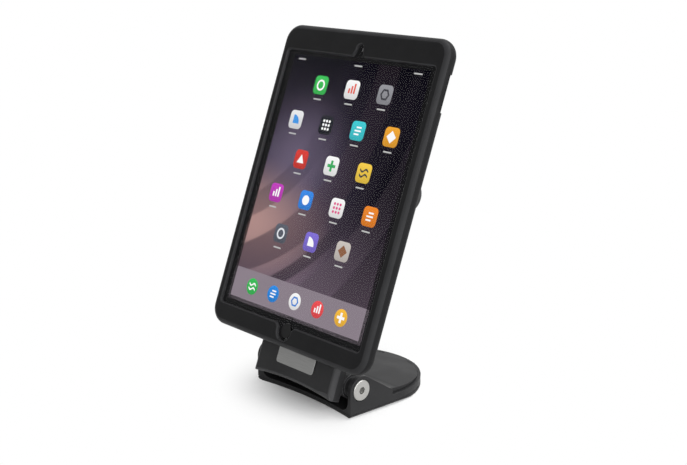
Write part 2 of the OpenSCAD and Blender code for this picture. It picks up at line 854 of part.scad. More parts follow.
// Screws of the bar
module bar_screws() {
    color("silver") in_head() at_bar_screws() translate([0, 0, bar_back]) mirror([0, 0, 1])
        flat_screw(screw_r, screw_head_r, bar_t + case_back_t - panel_skin);
}

// Stiff rear panel of the case, with a flange behind the rubber rim
module case_back() {
    color("#2b2b2b") in_tablet() difference() {
        union() {
            translate([0, 0, case_back_n]) linear_extrude(case_back_t)
                round_rect(panel_w - 2 * fit, panel_h - 2 * fit, panel_r);
            translate([0, 0, tablet_back - fit - panel_flange_t]) linear_extrude(panel_flange_t)
                round_rect(panel_w + 2 * panel_flange, panel_h + 2 * panel_flange, panel_r);
        }
        translate([0, swivel_v, 0]) at_bar_screws() translate([0, 0, case_back_n - over])
            cylinder(r = screw_r + thread_fit, h = case_back_t - panel_skin + fit + over);
        translate([rear_camera_u, rear_camera_v, case_back_n - over])
            cylinder(r = camera_hole_r, h = case_back_t + 2 * over);
    }
}

// Window of the case with its notches for the home button and the front camera
module case_window() {
    translate([0, -window_drop]) round_rect(window_w, window_h, window_r);
    translate([0, home_v]) circle(notch_r);
    translate([-notch_r, home_v]) square([2 * notch_r, -home_v]);
    low = -window_h / 2 - window_drop;
    high = window_h / 2 - window_drop;
    home_wide = notch_r + notch_flare;
    polygon([[-home_wide, low + over], [home_wide, low + over], [home_wide, low],
        [notch_r, low - notch_flare], [-notch_r, low - notch_flare], [-home_wide, low]]);
    translate([0, camera_v]) circle(camera_notch_r);
    eye = camera_notch_r * cos(camera_flare_a);
    eye_wide = camera_notch_r + camera_flare;
    polygon([[-eye, camera_v], [eye, camera_v], [eye_wide, high], [eye_wide, high - over],
        [-eye_wide, high - over], [-eye_wide, high]]);
}

// Rubber case around the tablet's edges
module case_bumper() {
    color("#252525") in_tablet() difference() {
        translate([0, 0, case_back_n])
            soft_slab(case_w, case_h, case_corner_r, case_depth, front_edge_r, rear_round_r);
        translate([0, 0, tablet_back - fit]) linear_extrude(tablet_t + fit)
            round_rect(tablet_w + 2 * fit, tablet_h + 2 * fit, tablet_corner_r + fit);
        translate([0, 0, -over]) linear_extrude(lip_rise + 2 * over) case_window();
        translate([0, 0, case_back_n - over]) linear_extrude(case_back_t + 2 * over)
            round_rect(panel_w, panel_h, panel_r + fit);
        translate([0, 0, tablet_back - fit - panel_flange_t - fit]) linear_extrude(panel_flange_t + over)
            round_rect(panel_w + 2 * (panel_flange + fit), panel_h + 2 * (panel_flange + fit),
                panel_r + fit);
        translate([tablet_w / 2 - over, volume_v - volume_cut_l / 2, case_back_n - over])
            cube([case_side_wall + 3 * over, volume_cut_l, side_cut_top - case_back_n + over]);
        translate([power_u - power_cut_l / 2, tablet_h / 2 - over, case_back_n - over])
            cube([power_cut_l, case_end_wall + 3 * over, side_cut_top - case_back_n + over]);
        translate([-port_cut_w / 2, -tablet_h / 2 - case_end_wall - 2 * over, case_back_n - over])
            cube([port_cut_w, case_end_wall + 3 * over, port_n + port_h - case_back_n + over]);
    }
}

// Places of a side button: x runs out of the tablet's edge, y along it
module at_volume(step) {
    translate([tablet_w / 2, volume_v + step * (button_l + button_gap) / 2, button_n]) children();
}

module at_power() {
    translate([power_u, tablet_h / 2, button_n]) rotate(90) children();
}

// Push button with a flange behind the housing wall
module side_button() {
    inner = housing_wall + fit + button_flange;
    translate([-inner, -button_l / 2 - button_flange, -button_h / 2])
        cube([button_flange, button_l + 2 * button_flange, button_h]);
    translate([-inner, -button_l / 2, -button_h / 2])
        cube([inner + button_travel + button_rest, button_l, button_h]);
}

// Slot for a side button
module side_button_slot() {
    translate([-housing_wall - over, -button_l / 2 - fit, -button_h / 2 - fit])
        cube([housing_wall + 2 * over, button_l + 2 * fit, button_h + 2 * fit]);
}

// Aluminium tray of the tablet
module tablet_housing() {
    color("silver") in_tablet() difference() {
        translate([0, 0, tablet_back]) linear_extrude(tablet_t - glass_t)
            round_rect(tablet_w, tablet_h, tablet_corner_r);
        translate([0, 0, housing_floor]) linear_extrude(tablet_t)
            round_rect(tablet_w - 2 * housing_wall, tablet_h - 2 * housing_wall,
                tablet_corner_r - housing_wall);
        for (step = [-1, 1]) at_volume(step) side_button_slot();
        at_power() side_button_slot();
        translate([0, -tablet_h / 2, port_n]) rotate([90, 0, 0]) translate([0, 0, -housing_wall - over])
            linear_extrude(housing_wall + 2 * over) round_rect(port_w, port_h, port_h / 2 - fit);
        translate([rear_camera_u, rear_camera_v, tablet_back - over])
            cylinder(r = rear_camera_r + run_fit, h = housing_wall + 2 * over);
    }
}

// Two flat battery cells
module battery_pack() {
    color("#303030") in_tablet() for (side = [-1, 1])
        translate([side * (battery_w + battery_gap) / 4, -battery_gap, housing_floor])
            linear_extrude(cell_t)
                round_rect((battery_w - battery_gap) / 2, battery_h, battery_gap);
}

// Circuit board with its shielded chips
module logic_board() {
    color("darkgreen") in_tablet()
        translate([-battery_w / 2 - battery_gap - board_w / 2, 0, housing_floor]) {
            linear_extrude(board_t) square([board_w, board_h], center = true);
            for (row = [0 : chip_rows - 1])
                translate([0, (row - (chip_rows - 1) / 2) * board_h / chip_rows, board_t])
                    linear_extrude(chip_t)
                        square([board_w - 2 * chip_margin, board_h / chip_rows / 2], center = true);
        }
}

// Charging connector behind the lower edge
module charge_connector() {
    color("silver") in_tablet()
        translate([0, -tablet_h / 2 + housing_wall, port_n]) rotate([-90, 0, 0]) difference() {
            linear_extrude(port_depth)
                square([port_w + 4 * port_shell, 2 * (port_n - housing_floor)], center = true);
            translate([0, 0, -over]) linear_extrude(port_depth)
                round_rect(port_w, port_h, port_h / 2 - fit);
        }
}

// Rear camera in the tablet's upper corner
module rear_camera() {
    color("black") in_tablet() translate([rear_camera_u, rear_camera_v, tablet_back]) {
        cylinder(r = rear_camera_r, h = housing_wall);
        translate([0, 0, housing_wall])
            cylinder(r = rear_camera_r + over, h = rear_camera_depth - housing_wall);
    }
}

// Front camera under the glass
module front_camera() {
    color("black") in_tablet() translate([0, camera_v, glass_back - front_camera_t])
        cylinder(r = front_camera_r, h = front_camera_t);
}

// Screen module under the glass
module display_panel() {
    color("midnightblue") in_tablet() translate([0, 0, display_back]) linear_extrude(display_t)
        square([screen_w + 2 * display_border, screen_h + 2 * display_border], center = true);
}

// Black border between glass and screen
module bezel_mask() {
    color("black") in_tablet() translate([0, 0, mask_back]) linear_extrude(mask_t) difference() {
        round_rect(tablet_w - 2 * housing_wall - 2 * fit, tablet_h - 2 * housing_wall - 2 * fit,
            tablet_corner_r - housing_wall - fit);
        square([screen_w, screen_h], center = true);
        translate([0, home_v]) circle(home_r + home_flange + fit);
        translate([0, camera_v]) circle(front_camera_r + fit);
    }
}

// Cover glass with the hole for the home button
module front_glass() {
    color("#101014") in_tablet() translate([0, 0, glass_back]) linear_extrude(glass_t) difference() {
        round_rect(tablet_w, tablet_h, tablet_corner_r);
        translate([0, home_v]) circle(home_r + fit);
    }
}

// Home button with its flange under the glass
module home_button() {
    color("#181818") in_tablet() translate([0, home_v, 0]) {
        translate([0, 0, glass_back - fit - home_flange_t])
            cylinder(r = home_r + home_flange, h = home_flange_t);
        translate([0, 0, glass_back - fit]) cylinder(r = home_r, h = glass_t + fit - home_sink);
    }
}

// Volume buttons in the right-hand edge and power button in the upper edge
module volume_up() { color("silver") in_tablet() at_volume(1) side_button(); }
module volume_down() { color("silver") in_tablet() at_volume(-1) side_button(); }
module power_button() { color("silver") in_tablet() at_power() side_button(); }

base_body();
base_plate();
foot_pad();
base_screws();
hinge_bolt();
hinge_nut();
friction_washer();
disc_springs();
hinge_bushes();
upright();
badge_plate();
hub_bearing();
rear_cover();
cover_screws();
lock_barrel();
lock_plug();
lock_cam();
hub_spindle();
spindle_screws();
hub_retainer();
retainer_screws();
mount_bar();
bar_screws();
case_back();
case_bumper();
tablet_housing();
battery_pack();
logic_board();
charge_connector();
rear_camera();
front_camera();
display_panel();
bezel_mask();
front_glass();
home_button();
volume_up();
volume_down();
power_button();
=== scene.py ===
"""Dressed model of a desk stand that holds a cased tablet at a counter.

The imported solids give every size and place. Each solid that shows is copied, its edges are softened
and it gets a procedural finish. The lit screen is drawn in the gap between the panel and the glass.
"""

import json
import logging
import math
from dataclasses import dataclass
from enum import Enum

import bmesh
import bpy
from mathutils import Matrix, Vector

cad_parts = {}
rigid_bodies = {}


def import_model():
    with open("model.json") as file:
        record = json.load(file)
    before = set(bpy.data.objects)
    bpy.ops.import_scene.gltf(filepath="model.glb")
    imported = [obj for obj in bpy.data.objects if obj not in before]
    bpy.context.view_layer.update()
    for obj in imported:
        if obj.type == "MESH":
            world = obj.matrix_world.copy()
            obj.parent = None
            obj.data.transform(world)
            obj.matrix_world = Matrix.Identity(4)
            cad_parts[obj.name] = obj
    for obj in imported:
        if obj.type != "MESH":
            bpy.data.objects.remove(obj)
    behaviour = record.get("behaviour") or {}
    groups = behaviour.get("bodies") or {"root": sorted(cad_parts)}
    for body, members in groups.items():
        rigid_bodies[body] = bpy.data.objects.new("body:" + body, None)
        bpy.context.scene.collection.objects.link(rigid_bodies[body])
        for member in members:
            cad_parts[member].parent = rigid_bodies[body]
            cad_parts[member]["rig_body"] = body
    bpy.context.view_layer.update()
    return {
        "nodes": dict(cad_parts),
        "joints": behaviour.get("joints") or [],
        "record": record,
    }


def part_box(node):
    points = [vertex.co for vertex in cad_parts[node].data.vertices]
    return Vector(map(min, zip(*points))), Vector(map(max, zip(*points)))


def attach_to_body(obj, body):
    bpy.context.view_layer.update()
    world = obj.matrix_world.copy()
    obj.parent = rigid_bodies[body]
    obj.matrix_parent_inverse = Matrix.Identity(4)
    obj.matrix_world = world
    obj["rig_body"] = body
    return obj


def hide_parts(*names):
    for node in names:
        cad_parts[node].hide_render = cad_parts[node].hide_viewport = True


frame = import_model()

LOG = logging.getLogger("tablet_stand")
MM = 0.001
WELD = 0.002 * MM  # corners closer than this are one corner
FLAT_ANGLE = math.radians(0.4)  # faces closer than this are one flat face
RIM_REACH = 0.1 * MM  # depth that still counts as the front face
SEAT_REACH = 0.6 * MM  # reach around a seated piece
WALL_SLOPE = 0.1  # most that a wall may lean and still stand square to the glass
SIDE_RUN = 0.7  # least rise of an edge that runs up a side
ROUND_LOW, ROUND_HIGH = 0.4, 0.97  # range of slopes on the case's outer rounding

Colour = tuple[float, float, float, float]
Point = tuple[float, float]
BLACK: Colour = (0.0, 0.0, 0.0, 1.0)
WHITE: Colour = (1.0, 1.0, 1.0, 1.0)


def shade(red: int, green: int, blue: int) -> Colour:
    """Turns 8-bit display values into a linear colour.

    Args:
        red: Red value from 0 to 255.
        green: Green value from 0 to 255.
        blue: Blue value from 0 to 255.

    Returns:
        The linear colour with full opacity.
    """
    shares = (value / 255 for value in (red, green, blue))
    linear = (s / 12.92 if s <= 0.04045 else ((s + 0.055) / 1.055) ** 2.4 for s in shares)
    return (*linear, 1.0)


def scaled(colour: Colour, factor: float) -> Colour:
    """Returns a colour made lighter or darker by a factor."""
    return (*(channel * factor for channel in colour[:3]), colour[3])


class NodeSheet:
    """Adds and links the nodes of one tree."""

    def __init__(self, tree: bpy.types.NodeTree) -> None:
        """Keeps the tree that the nodes go into."""
        self.tree = tree

    def add(self, kind: str, **settings: object) -> bpy.types.Node:
        """Adds a node.

        Args:
            kind: Type name of the node.
            settings: Properties to set on it.

        Returns:
            The new node.
        """
        node = self.tree.nodes.new(kind)
        for name, value in settings.items():
            setattr(node, name, value)
        return node

    def feed(self, target: bpy.types.NodeSocket, source: object) -> None:
        """Links a socket to an input, or sets the input to a plain value."""
        if isinstance(source, bpy.types.NodeSocket):
            self.tree.links.new(source, target)
        else:
            target.default_value = source

    def feed_all(self, node: bpy.types.Node, sources: dict[str, object]) -> None:
        """Links sockets to a node's inputs, or sets the inputs to plain values, by name."""
        for name, source in sources.items():
            self.feed(node.inputs[name], source)

    def math(self, operation: str, *values: object, clamp: bool = False) -> bpy.types.NodeSocket:
        """Adds a Math node.

        Args:
            operation: Name of the operation.
            values: Sockets or numbers for its inputs, in order.
            clamp: Whether the result is held between 0 and 1.

        Returns:
            The node's result.
        """
        node = self.add("ShaderNodeMath", operation=operation, use_clamp=clamp)
        for target, value in zip(node.inputs, values):
            self.feed(target, value)
        return node.outputs[0]

    def blend(self, factor: object, first: object, second: object) -> bpy.types.NodeSocket:
        """Mixes two colours.

        Args:
            factor: Socket or share of the second colour.
            first: Socket or colour at factor 0.
            second: Socket or colour at factor 1.

        Returns:
            The mixed colour.
        """
        node = self.add("ShaderNodeMix", data_type="RGBA")
        self.feed(node.inputs["Factor"], factor)
        self.feed(node.inputs[6], first)
        self.feed(node.inputs[7], second)
        return node.outputs[2]

    def spread(self, value: object, low: float, high: float, to_low: float, to_high: float,
               smooth: bool = False) -> bpy.types.NodeSocket:
        """Maps a range of values to another one and holds it there.

        Args:
            value: Socket to map.
            low: Start of the range that is read.
            high: End of the range that is read.
            to_low: Result at its start.
            to_high: Result at its end.
            smooth: Whether the change eases in and out.

        Returns:
            The mapped value.
        """
        kind = "SMOOTHSTEP" if smooth else "LINEAR"
        node = self.add("ShaderNodeMapRange", interpolation_type=kind)
        for target, source in zip(node.inputs, (value, low, high, to_low, to_high)):
            self.feed(target, source)
        return node.outputs[0]

    def noise(self, place: bpy.types.NodeSocket, scale: bpy.types.NodeSocket, detail: float,
              distortion: float = 0.0) -> bpy.types.NodeSocket:
        """Adds a noise texture.

        Args:
            place: Coordinates of the texture.
            scale: Scale of the texture.
            detail: Number of finer layers.
            distortion: How far the layers are bent.

        Returns:
            The noise as a value around a half.
        """
        node = self.add("ShaderNodeTexNoise")
        self.feed_all(node, {"Vector": place, "Scale": scale, "Detail": detail, "Distortion": distortion})
        return node.outputs[0]


def new_material(name: str) -> tuple[bpy.types.Material, NodeSheet, bpy.types.Node]:
    """Starts a material.

    Args:
        name: Name of the material.

    Returns:
        The material, the sheet of its nodes and its surface node.
    """
    material = bpy.data.materials.new(name)
    material.use_nodes = True
    return material, NodeSheet(material.node_tree), material.node_tree.nodes["Principled BSDF"]


def make_lit(sheet: NodeSheet, surface: bpy.types.Node, paint: bpy.types.NodeSocket) -> None:
    """Makes a surface glow with a colour and reflect nothing.

    Args:
        sheet: Sheet of the material's nodes.
        surface: Surface node of the material.
        paint: Colour of the glow.
    """
    sheet.feed_all(surface, {"Base Color": BLACK, "Roughness": 0.5, "Specular IOR Level": 0.0,
                             "Emission Strength": 1.0, "Emission Color": paint})


def shader_group(name: str, inputs: dict[str, str], outputs: dict[str, str]) -> bpy.types.NodeTree:
    """Starts a shader group with named sockets.

    Args:
        name: Name of the group.
        inputs: Socket types of its inputs, by name.
        outputs: Socket types of its outputs, by name.

    Returns:
        The group's tree, without nodes.
    """
    tree = bpy.data.node_groups.new(name, "ShaderNodeTree")
    for side, sockets in (("INPUT", inputs), ("OUTPUT", outputs)):
        for label, kind in sockets.items():
            tree.interface.new_socket(label, in_out=side, socket_type=kind)
    return tree


class Texture(Enum):
    """How the surface of a finish was made."""

    MOULDED = "moulded_grain"
    BRUSHED = "brushed_lines"
    TURNED = "turned_rings"


class TextureLibrary:
    """Builds each shared texture group once."""

    SOCKETS_IN = {"Place": "NodeSocketVector", "Scale": "NodeSocketFloat"}
    SOCKETS_OUT = {"Height": "NodeSocketFloat", "Mottle": "NodeSocketFloat"}
    SMUDGE_RANGE = (0.42, 0.66)
    SMUDGE_DETAIL, SMUDGE_BEND = 5.0, 0.6
    MOTTLE_RANGE = (0.3, 0.7)
    PEBBLE_BLEND = 0.6
    FINE_SCALE, FINE_DETAIL, FINE_SHARE = 1.7, 4.0, 0.5
    SLOW_SCALE, SLOW_DETAIL = 0.03, 3.0
    BRUSH_STRETCH, BRUSH_DETAIL = (0.02, 1.0, 1.0), 6.0
    RING_BEND, RING_DETAIL = 0.4, 2.0

    def __init__(self) -> None:
        """Starts with no group built."""
        self.built: dict[str, bpy.types.NodeTree] = {}

    def group(self, texture: Texture) -> bpy.types.NodeTree:
        """Gives a texture's group.

        Args:
            texture: The texture that is wanted.

        Returns:
            The shader group with Height and Mottle outputs.
        """
        if texture.value not in self.built:
            makers = {
                Texture.MOULDED: self.moulded,
                Texture.BRUSHED: self.brushed,
                Texture.TURNED: self.turned,
            }
            tree = shader_group(texture.value, self.SOCKETS_IN, self.SOCKETS_OUT)
            makers[texture](NodeSheet(tree))
            self.built[texture.value] = tree
        return self.built[texture.value]

    def handling(self) -> bpy.types.NodeTree:
        """Gives the group of soft smudges left by hands, as a mask from 0 to 1."""
        if "handling_smudges" not in self.built:
            tree = shader_group("handling_smudges", self.SOCKETS_IN, {"Smudge": "NodeSocketFloat"})
            sheet = NodeSheet(tree)
            start, end = sheet.add("NodeGroupInput"), sheet.add("NodeGroupOutput")
            cloud = sheet.noise(start.outputs["Place"], start.outputs["Scale"], self.SMUDGE_DETAIL,
                                self.SMUDGE_BEND)
            sheet.feed(end.inputs["Smudge"], sheet.spread(cloud, *self.SMUDGE_RANGE, 0.0, 1.0, True))
            self.built["handling_smudges"] = tree
        return self.built["handling_smudges"]

    def moulded(self, sheet: NodeSheet) -> None:
        """Fills the group of fine pebbled grain with a slow mottle."""
        start, end = sheet.add("NodeGroupInput"), sheet.add("NodeGroupOutput")
        place, scale = start.outputs["Place"], start.outputs["Scale"]
        pebbles = sheet.add("ShaderNodeTexVoronoi", feature="SMOOTH_F1")
        sheet.feed_all(pebbles, {"Vector": place, "Scale": scale, "Smoothness": self.PEBBLE_BLEND})
        fine = sheet.noise(place, sheet.math("MULTIPLY", scale, self.FINE_SCALE), self.FINE_DETAIL)
        slow = sheet.noise(place, sheet.math("MULTIPLY", scale, self.SLOW_SCALE), self.SLOW_DETAIL)
        height = sheet.math("MULTIPLY_ADD", fine, self.FINE_SHARE, pebbles.outputs["Distance"])
        sheet.feed(end.inputs["Height"], height)
        sheet.feed(end.inputs["Mottle"], sheet.spread(slow, *self.MOTTLE_RANGE, 0.0, 1.0))

    def brushed(self, sheet: NodeSheet) -> None:
        """Fills the group of straight brushing lines along x."""
        start, end = sheet.add("NodeGroupInput"), sheet.add("NodeGroupOutput")
        stretch = sheet.add("ShaderNodeMapping", vector_type="POINT")
        sheet.feed_all(stretch, {"Scale": self.BRUSH_STRETCH, "Vector": start.outputs["Place"]})
        lines = sheet.noise(stretch.outputs[0], start.outputs["Scale"], self.BRUSH_DETAIL)
        sheet.feed(end.inputs["Height"], lines)
        sheet.feed(end.inputs["Mottle"], sheet.spread(lines, *self.MOTTLE_RANGE, 0.0, 1.0))

    def turned(self, sheet: NodeSheet) -> None:
        """Fills the group of fine lathe rings around z."""
        start, end = sheet.add("NodeGroupInput"), sheet.add("NodeGroupOutput")
        rings = sheet.add("ShaderNodeTexWave", wave_type="RINGS", rings_direction="Z")
        sheet.feed_all(rings, {"Vector": start.outputs["Place"], "Scale": start.outputs["Scale"],
                               "Distortion": self.RING_BEND, "Detail": self.RING_DETAIL})
        sheet.feed(end.inputs["Height"], rings.outputs["Fac"])
        sheet.feed(end.inputs["Mottle"], rings.outputs["Fac"])


TEXTURES = TextureLibrary()


@dataclass(frozen=True)
class Seat:
    """Place and turn of a pattern: its own z follows the piece's axis."""

    centre: tuple[float, float, float] = (0.0, 0.0, 0.0)
    turn: tuple[float, float, float] = (0.0, 0.0, 0.0)

    def coordinates(self, sheet: NodeSheet) -> bpy.types.NodeSocket:
        """Adds the Object coordinates seen from this seat and returns them."""
        place = sheet.add("ShaderNodeTexCoord").outputs["Object"]
        mapping = sheet.add("ShaderNodeMapping", vector_type="TEXTURE")
        sheet.feed_all(mapping, {"Vector": place, "Location": self.centre, "Rotation": self.turn})
        return mapping.outputs[0]


class Zone(Enum):
    """Parts of a piece's surface: its faces, its softened edges and its outer rounding, the last two with
    painted light in their colour.
    """

    FACE = ""
    EDGE = "_edge"
    ROUND = "_rounding"


@dataclass(frozen=True)
class Finish:
    """Opaque finish of one kind of surface."""

    name: str
    colour: Colour
    roughness: float
    metallic: float = 0.0
    specular: float = 0.5
    texture: Texture = Texture.MOULDED
    scale: float = 1400.0
    relief: float = 0.02 * MM
    bump: float = 0.35
    mottle: float = 0.1
    smudge: float = 0.08
    smudge_scale: float = 22.0
    coat: float = 0.0
    # Colour factor of the softened edges: a painted highlight above 1, painted shade below 1.
    edge_painted_light: float = 1.25
    # Colour factor of the outer rounding: a painted highlight band above 1.
    rounding_painted_highlight: float = 1.0
    # Colour the surface gives off; where it isn't black it is painted light, as the surface is no lamp.
    glow: Colour = BLACK
    # Radius of a drive socket whose floor gets painted shade, and how dark and how wide its rim the shade is.
    socket: float = 0.0
    socket_shade_factor: float = 0.4
    socket_rim: float = 0.9
    edge_polish: float = 0.85
    least_rough: float = 0.04
    seat: Seat = Seat()

    def material(self, zone: Zone = Zone.FACE) -> bpy.types.Material:
        """Makes the finish's material for a part of the surface.

        Args:
            zone: Part of the surface. The softened edges are slightly polished, and on them and on the outer
                rounding the colour is scaled by a painted light factor: a painted highlight above 1, painted
                shade below 1.

        Returns:
            The material, made once for each name.
        """
        name = self.name + zone.value
        known = bpy.data.materials.get(name)
        if known:
            return known
        material, sheet, surface = new_material(name)
        place = self.seat.coordinates(sheet)
        grain = sheet.add("ShaderNodeGroup", node_tree=TEXTURES.group(self.texture))
        hands = sheet.add("ShaderNodeGroup", node_tree=TEXTURES.handling())
        sheet.feed_all(grain, {"Place": place, "Scale": self.scale})
        sheet.feed_all(hands, {"Place": place, "Scale": self.smudge_scale})
        # Painted light: the softened edges and the outer rounding take the colour times their painted light
        # factor.
        painted_light_factors = {Zone.FACE: 1.0, Zone.EDGE: self.edge_painted_light, Zone.ROUND: self.rounding_painted_highlight}
        base = scaled(self.colour, painted_light_factors[zone])
        dark, light = scaled(base, 1 - self.mottle), scaled(base, 1 + self.mottle)
        tint = sheet.blend(grain.outputs["Mottle"], dark, light)
        # Painted shade on the floor of the drive socket.
        if self.socket:
            tint = self.painted_socket_shade(sheet, place, base, tint)
        rough = self.roughness * (self.edge_polish if zone is Zone.EDGE else 1.0)
        worn = max(rough - self.smudge, self.least_rough)
        relief = sheet.add("ShaderNodeBump")
        sheet.feed_all(relief, {"Strength": self.bump, "Distance": self.relief,
                                "Height": grain.outputs["Height"]})
        sheet.feed_all(surface, {
            "Base Color": tint,
            "Roughness": sheet.spread(hands.outputs["Smudge"], 0.0, 1.0, rough, worn),
            "Normal": relief.outputs[0],
            "Metallic": self.metallic,
            "Specular IOR Level": self.specular,
            "Coat Weight": self.coat,
            "Emission Color": self.glow,
            "Emission Strength": 1.0,
        })
        return material

    def painted_socket_shade(self, sheet: NodeSheet, place: bpy.types.NodeSocket, base: Colour,
                 tint: bpy.types.NodeSocket) -> bpy.types.NodeSocket:
        """Paints shade on the floor of a drive socket around the piece's axis.

        Args:
            sheet: Sheet of the material's nodes.
            place: Coordinates around the piece's axis.
            base: Plain colour of the finish.
            tint: Colour outside the socket.

        Returns:
            The colour with the dark socket.
        """
        flat = sheet.add("ShaderNodeVectorMath", operation="MULTIPLY")
        sheet.feed(flat.inputs[0], place)
        flat.inputs[1].default_value = (1.0, 1.0, 0.0)
        radius = sheet.add("ShaderNodeVectorMath", operation="LENGTH")
        sheet.feed(radius.inputs[0], flat.outputs[0])
        rim = self.socket_rim * self.socket
        outside = sheet.spread(radius.outputs["Value"], rim, self.socket, 0.0, 1.0)
        return sheet.blend(outside, scaled(base, self.socket_shade_factor), tint)


@dataclass(frozen=True)
class GlassFinish:
    """Clear cover glass with a coating that reflects little."""

    name: str = "tablet_glass"
    roughness: float = 0.01
    marked: float = 0.025
    mark_scale: float = 30.0
    ior: float = 1.1

    def material(self) -> bpy.types.Material:
        """Makes the glass material with faint finger marks in its gloss.

        Returns:
            The material.
        """
        material, sheet, surface = new_material(self.name)
        hands = sheet.add("ShaderNodeGroup", node_tree=TEXTURES.handling())
        sheet.feed_all(hands, {"Place": Seat().coordinates(sheet), "Scale": self.mark_scale})
        gloss = sheet.spread(hands.outputs["Smudge"], 0.0, 1.0, self.roughness, self.marked)
        sheet.feed_all(surface, {"Base Color": WHITE, "Roughness": gloss, "Transmission Weight": 1.0,
                                 "IOR": self.ior})
        return material


def joint_value(joint: str, key: str) -> list[float]:
    """Reads a value of a joint from the model, such as its place or axis."""
    return next(row[key] for row in frame["joints"] if row["name"] == joint)


@dataclass(frozen=True)
class LeaningFrame:
    """Frame of the leaning tablet: u to the right, v up along the glass and n out of it."""

    centre: Vector
    normal: Vector

    @classmethod
    def from_model(cls) -> "LeaningFrame":
        """Reads the frame from the glass and the head's turning axis."""
        normal = Vector(joint_value("swivel", "axis")).normalized()
        low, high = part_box("front_glass")
        thin = cls.thickness("front_glass", normal)
        return cls((low + high) / 2 + normal * thin / 2, normal)

    @staticmethod
    def thickness(node: str, normal: Vector) -> float:
        """Gives a solid's thickness along the normal.

        Args:
            node: Name of the solid.
            normal: Direction to measure in.

        Returns:
            The thickness in metres.
        """
        reach = [vertex.co.dot(normal) for vertex in frame["nodes"][node].data.vertices]
        return max(reach) - min(reach)

    @property
    def up(self) -> Vector:
        """Direction up along the glass."""
        return self.normal.cross(Vector((1, 0, 0)))

    @property
    def turn(self) -> tuple[float, float, float]:
        """Turn of the frame about x, as Euler angles."""
        return (math.atan2(self.up.z, self.up.y), 0.0, 0.0)

    def matrix(self) -> Matrix:
        """Matrix from u, v and n to the object's own frame."""
        return Matrix.Translation(self.centre) @ Matrix.Rotation(self.turn[0], 4, "X")

    def level(self, node: str) -> float:
        """Gives how far a solid's front lies in front of the glass."""
        return max(self.height(vertex.co) for vertex in frame["nodes"][node].data.vertices)

    def height(self, point: Vector) -> float:
        """Gives how far a point lies in front of the glass."""
        return (point - self.centre).dot(self.normal)

    def seat(self, along_axis: bool = False) -> Seat:
        """Gives the seat of a pattern on the tablet, or on the head's turning axis."""
        centre = self.centre
        if along_axis:
            centre = Vector(joint_value("swivel", "pos_m"))
        return Seat(tuple(centre), self.turn)


TABLET_FRAME = LeaningFrame.from_model()
HINGE_SEAT = Seat(tuple(joint_value("tilt", "pos_m")), (0.0, math.pi / 2, 0.0))


class Finishes:
    """The finishes of the stand, the case and the tablet."""

    # Painted highlight: unless set otherwise, the softened edges of a finish are painted 1.25 times lighter.
    CASTING = Finish("painted_casting", shade(38, 38, 39), 0.5, specular=0.15, scale=1900.0, bump=0.3)
    # Painted light: the upright is the casting's paint made a touch lighter, with a strong painted highlight
    # on its softened edges, widest at the right-hand side.
    UPRIGHT = Finish("upright_casting", shade(40, 40, 41), 0.5, specular=0.15, scale=1900.0, bump=0.3,
                     edge_painted_light=2.3)
    PLATE = Finish("painted_plate", shade(36, 36, 37), 0.5, specular=0.15, scale=1900.0, bump=0.3)
    # Painted highlights: the lip's softened edges and inner walls 3.2 times lighter, the outer rounding 2.3
    # times lighter.
    RUBBER = Finish("case_rubber", shade(28, 28, 29), 0.5, specular=0.07, scale=2300.0, bump=0.25,
                    smudge=0.1, edge_painted_light=3.2, rounding_painted_highlight=2.3)
    PAD = Finish("foot_pad_rubber", shade(20, 20, 20), 0.85, specular=0.2, bump=0.5)
    PLASTIC = Finish("moulded_plastic", shade(38, 38, 39), 0.55, specular=0.4)
    BEARING = Finish("bearing_ring", shade(214, 208, 196), 0.5)
    BRONZE = Finish("bush_bronze", shade(176, 136, 80), 0.35, 1.0, texture=Texture.TURNED, scale=900.0,
                    seat=HINGE_SEAT)
    # Painted shade: the softened edges are painted 0.8 times as light, and the drive socket's floor is
    # painted darker.
    BOLT = Finish("hinge_bolt_steel", shade(178, 177, 174), 0.46, 1.0, texture=Texture.TURNED, scale=700.0,
                  relief=0.008 * MM, mottle=0.05, edge_painted_light=0.8, socket=2.75 * MM, seat=HINGE_SEAT)
    LOCK = Finish("lock_steel", shade(205, 205, 203), 0.28, 1.0, texture=Texture.TURNED, scale=700.0,
                  relief=0.008 * MM, mottle=0.06, edge_painted_light=1.0, seat=TABLET_FRAME.seat(along_axis=True))
    SCREW = Finish("brushed_screw_steel", shade(150, 150, 150), 0.35, 1.0, texture=Texture.BRUSHED,
                   scale=2600.0, edge_painted_light=1.0)
    # Painted highlight: the softened edges are painted 1.15 times lighter.
    BADGE = Finish("front_plate_metal", shade(127, 127, 126), 0.42, 1.0, texture=Texture.BRUSHED,
                   scale=3600.0, relief=0.01 * MM, mottle=0.12, edge_painted_light=1.15, seat=TABLET_FRAME.seat())
    HUB = Finish("hub_aluminium", shade(190, 190, 192), 0.35, 1.0, texture=Texture.TURNED, scale=600.0,
                 seat=TABLET_FRAME.seat(along_axis=True))
    SHELL = Finish("tablet_aluminium", shade(112, 114, 116), 0.45, 1.0, scale=4200.0, relief=0.006 * MM,
                   edge_painted_light=1.0)
    # Painted light: the black border glows a faint grey that stands for the light reaching it through the
    # glass.
    MASK = Finish("glass_border", shade(2, 2, 2), 0.4, specular=0.0, bump=0.0, glow=shade(24, 24, 25))
    HOME = Finish("home_button_black", shade(10, 10, 11), 0.35, specular=0.15, bump=0.05, smudge=0.03)
    LENS = Finish("camera_lens", shade(12, 12, 18), 0.08, bump=0.0, smudge=0.0, coat=0.6)
    CELL = Finish("battery_wrap", shade(58, 58, 60), 0.5)
    BOARD = Finish("circuit_board", shade(30, 92, 52), 0.45)


def link(item: bpy.types.Object) -> bpy.types.Object:
    """Puts an object into the scene and returns it."""
    bpy.context.scene.collection.objects.link(item)
    return item


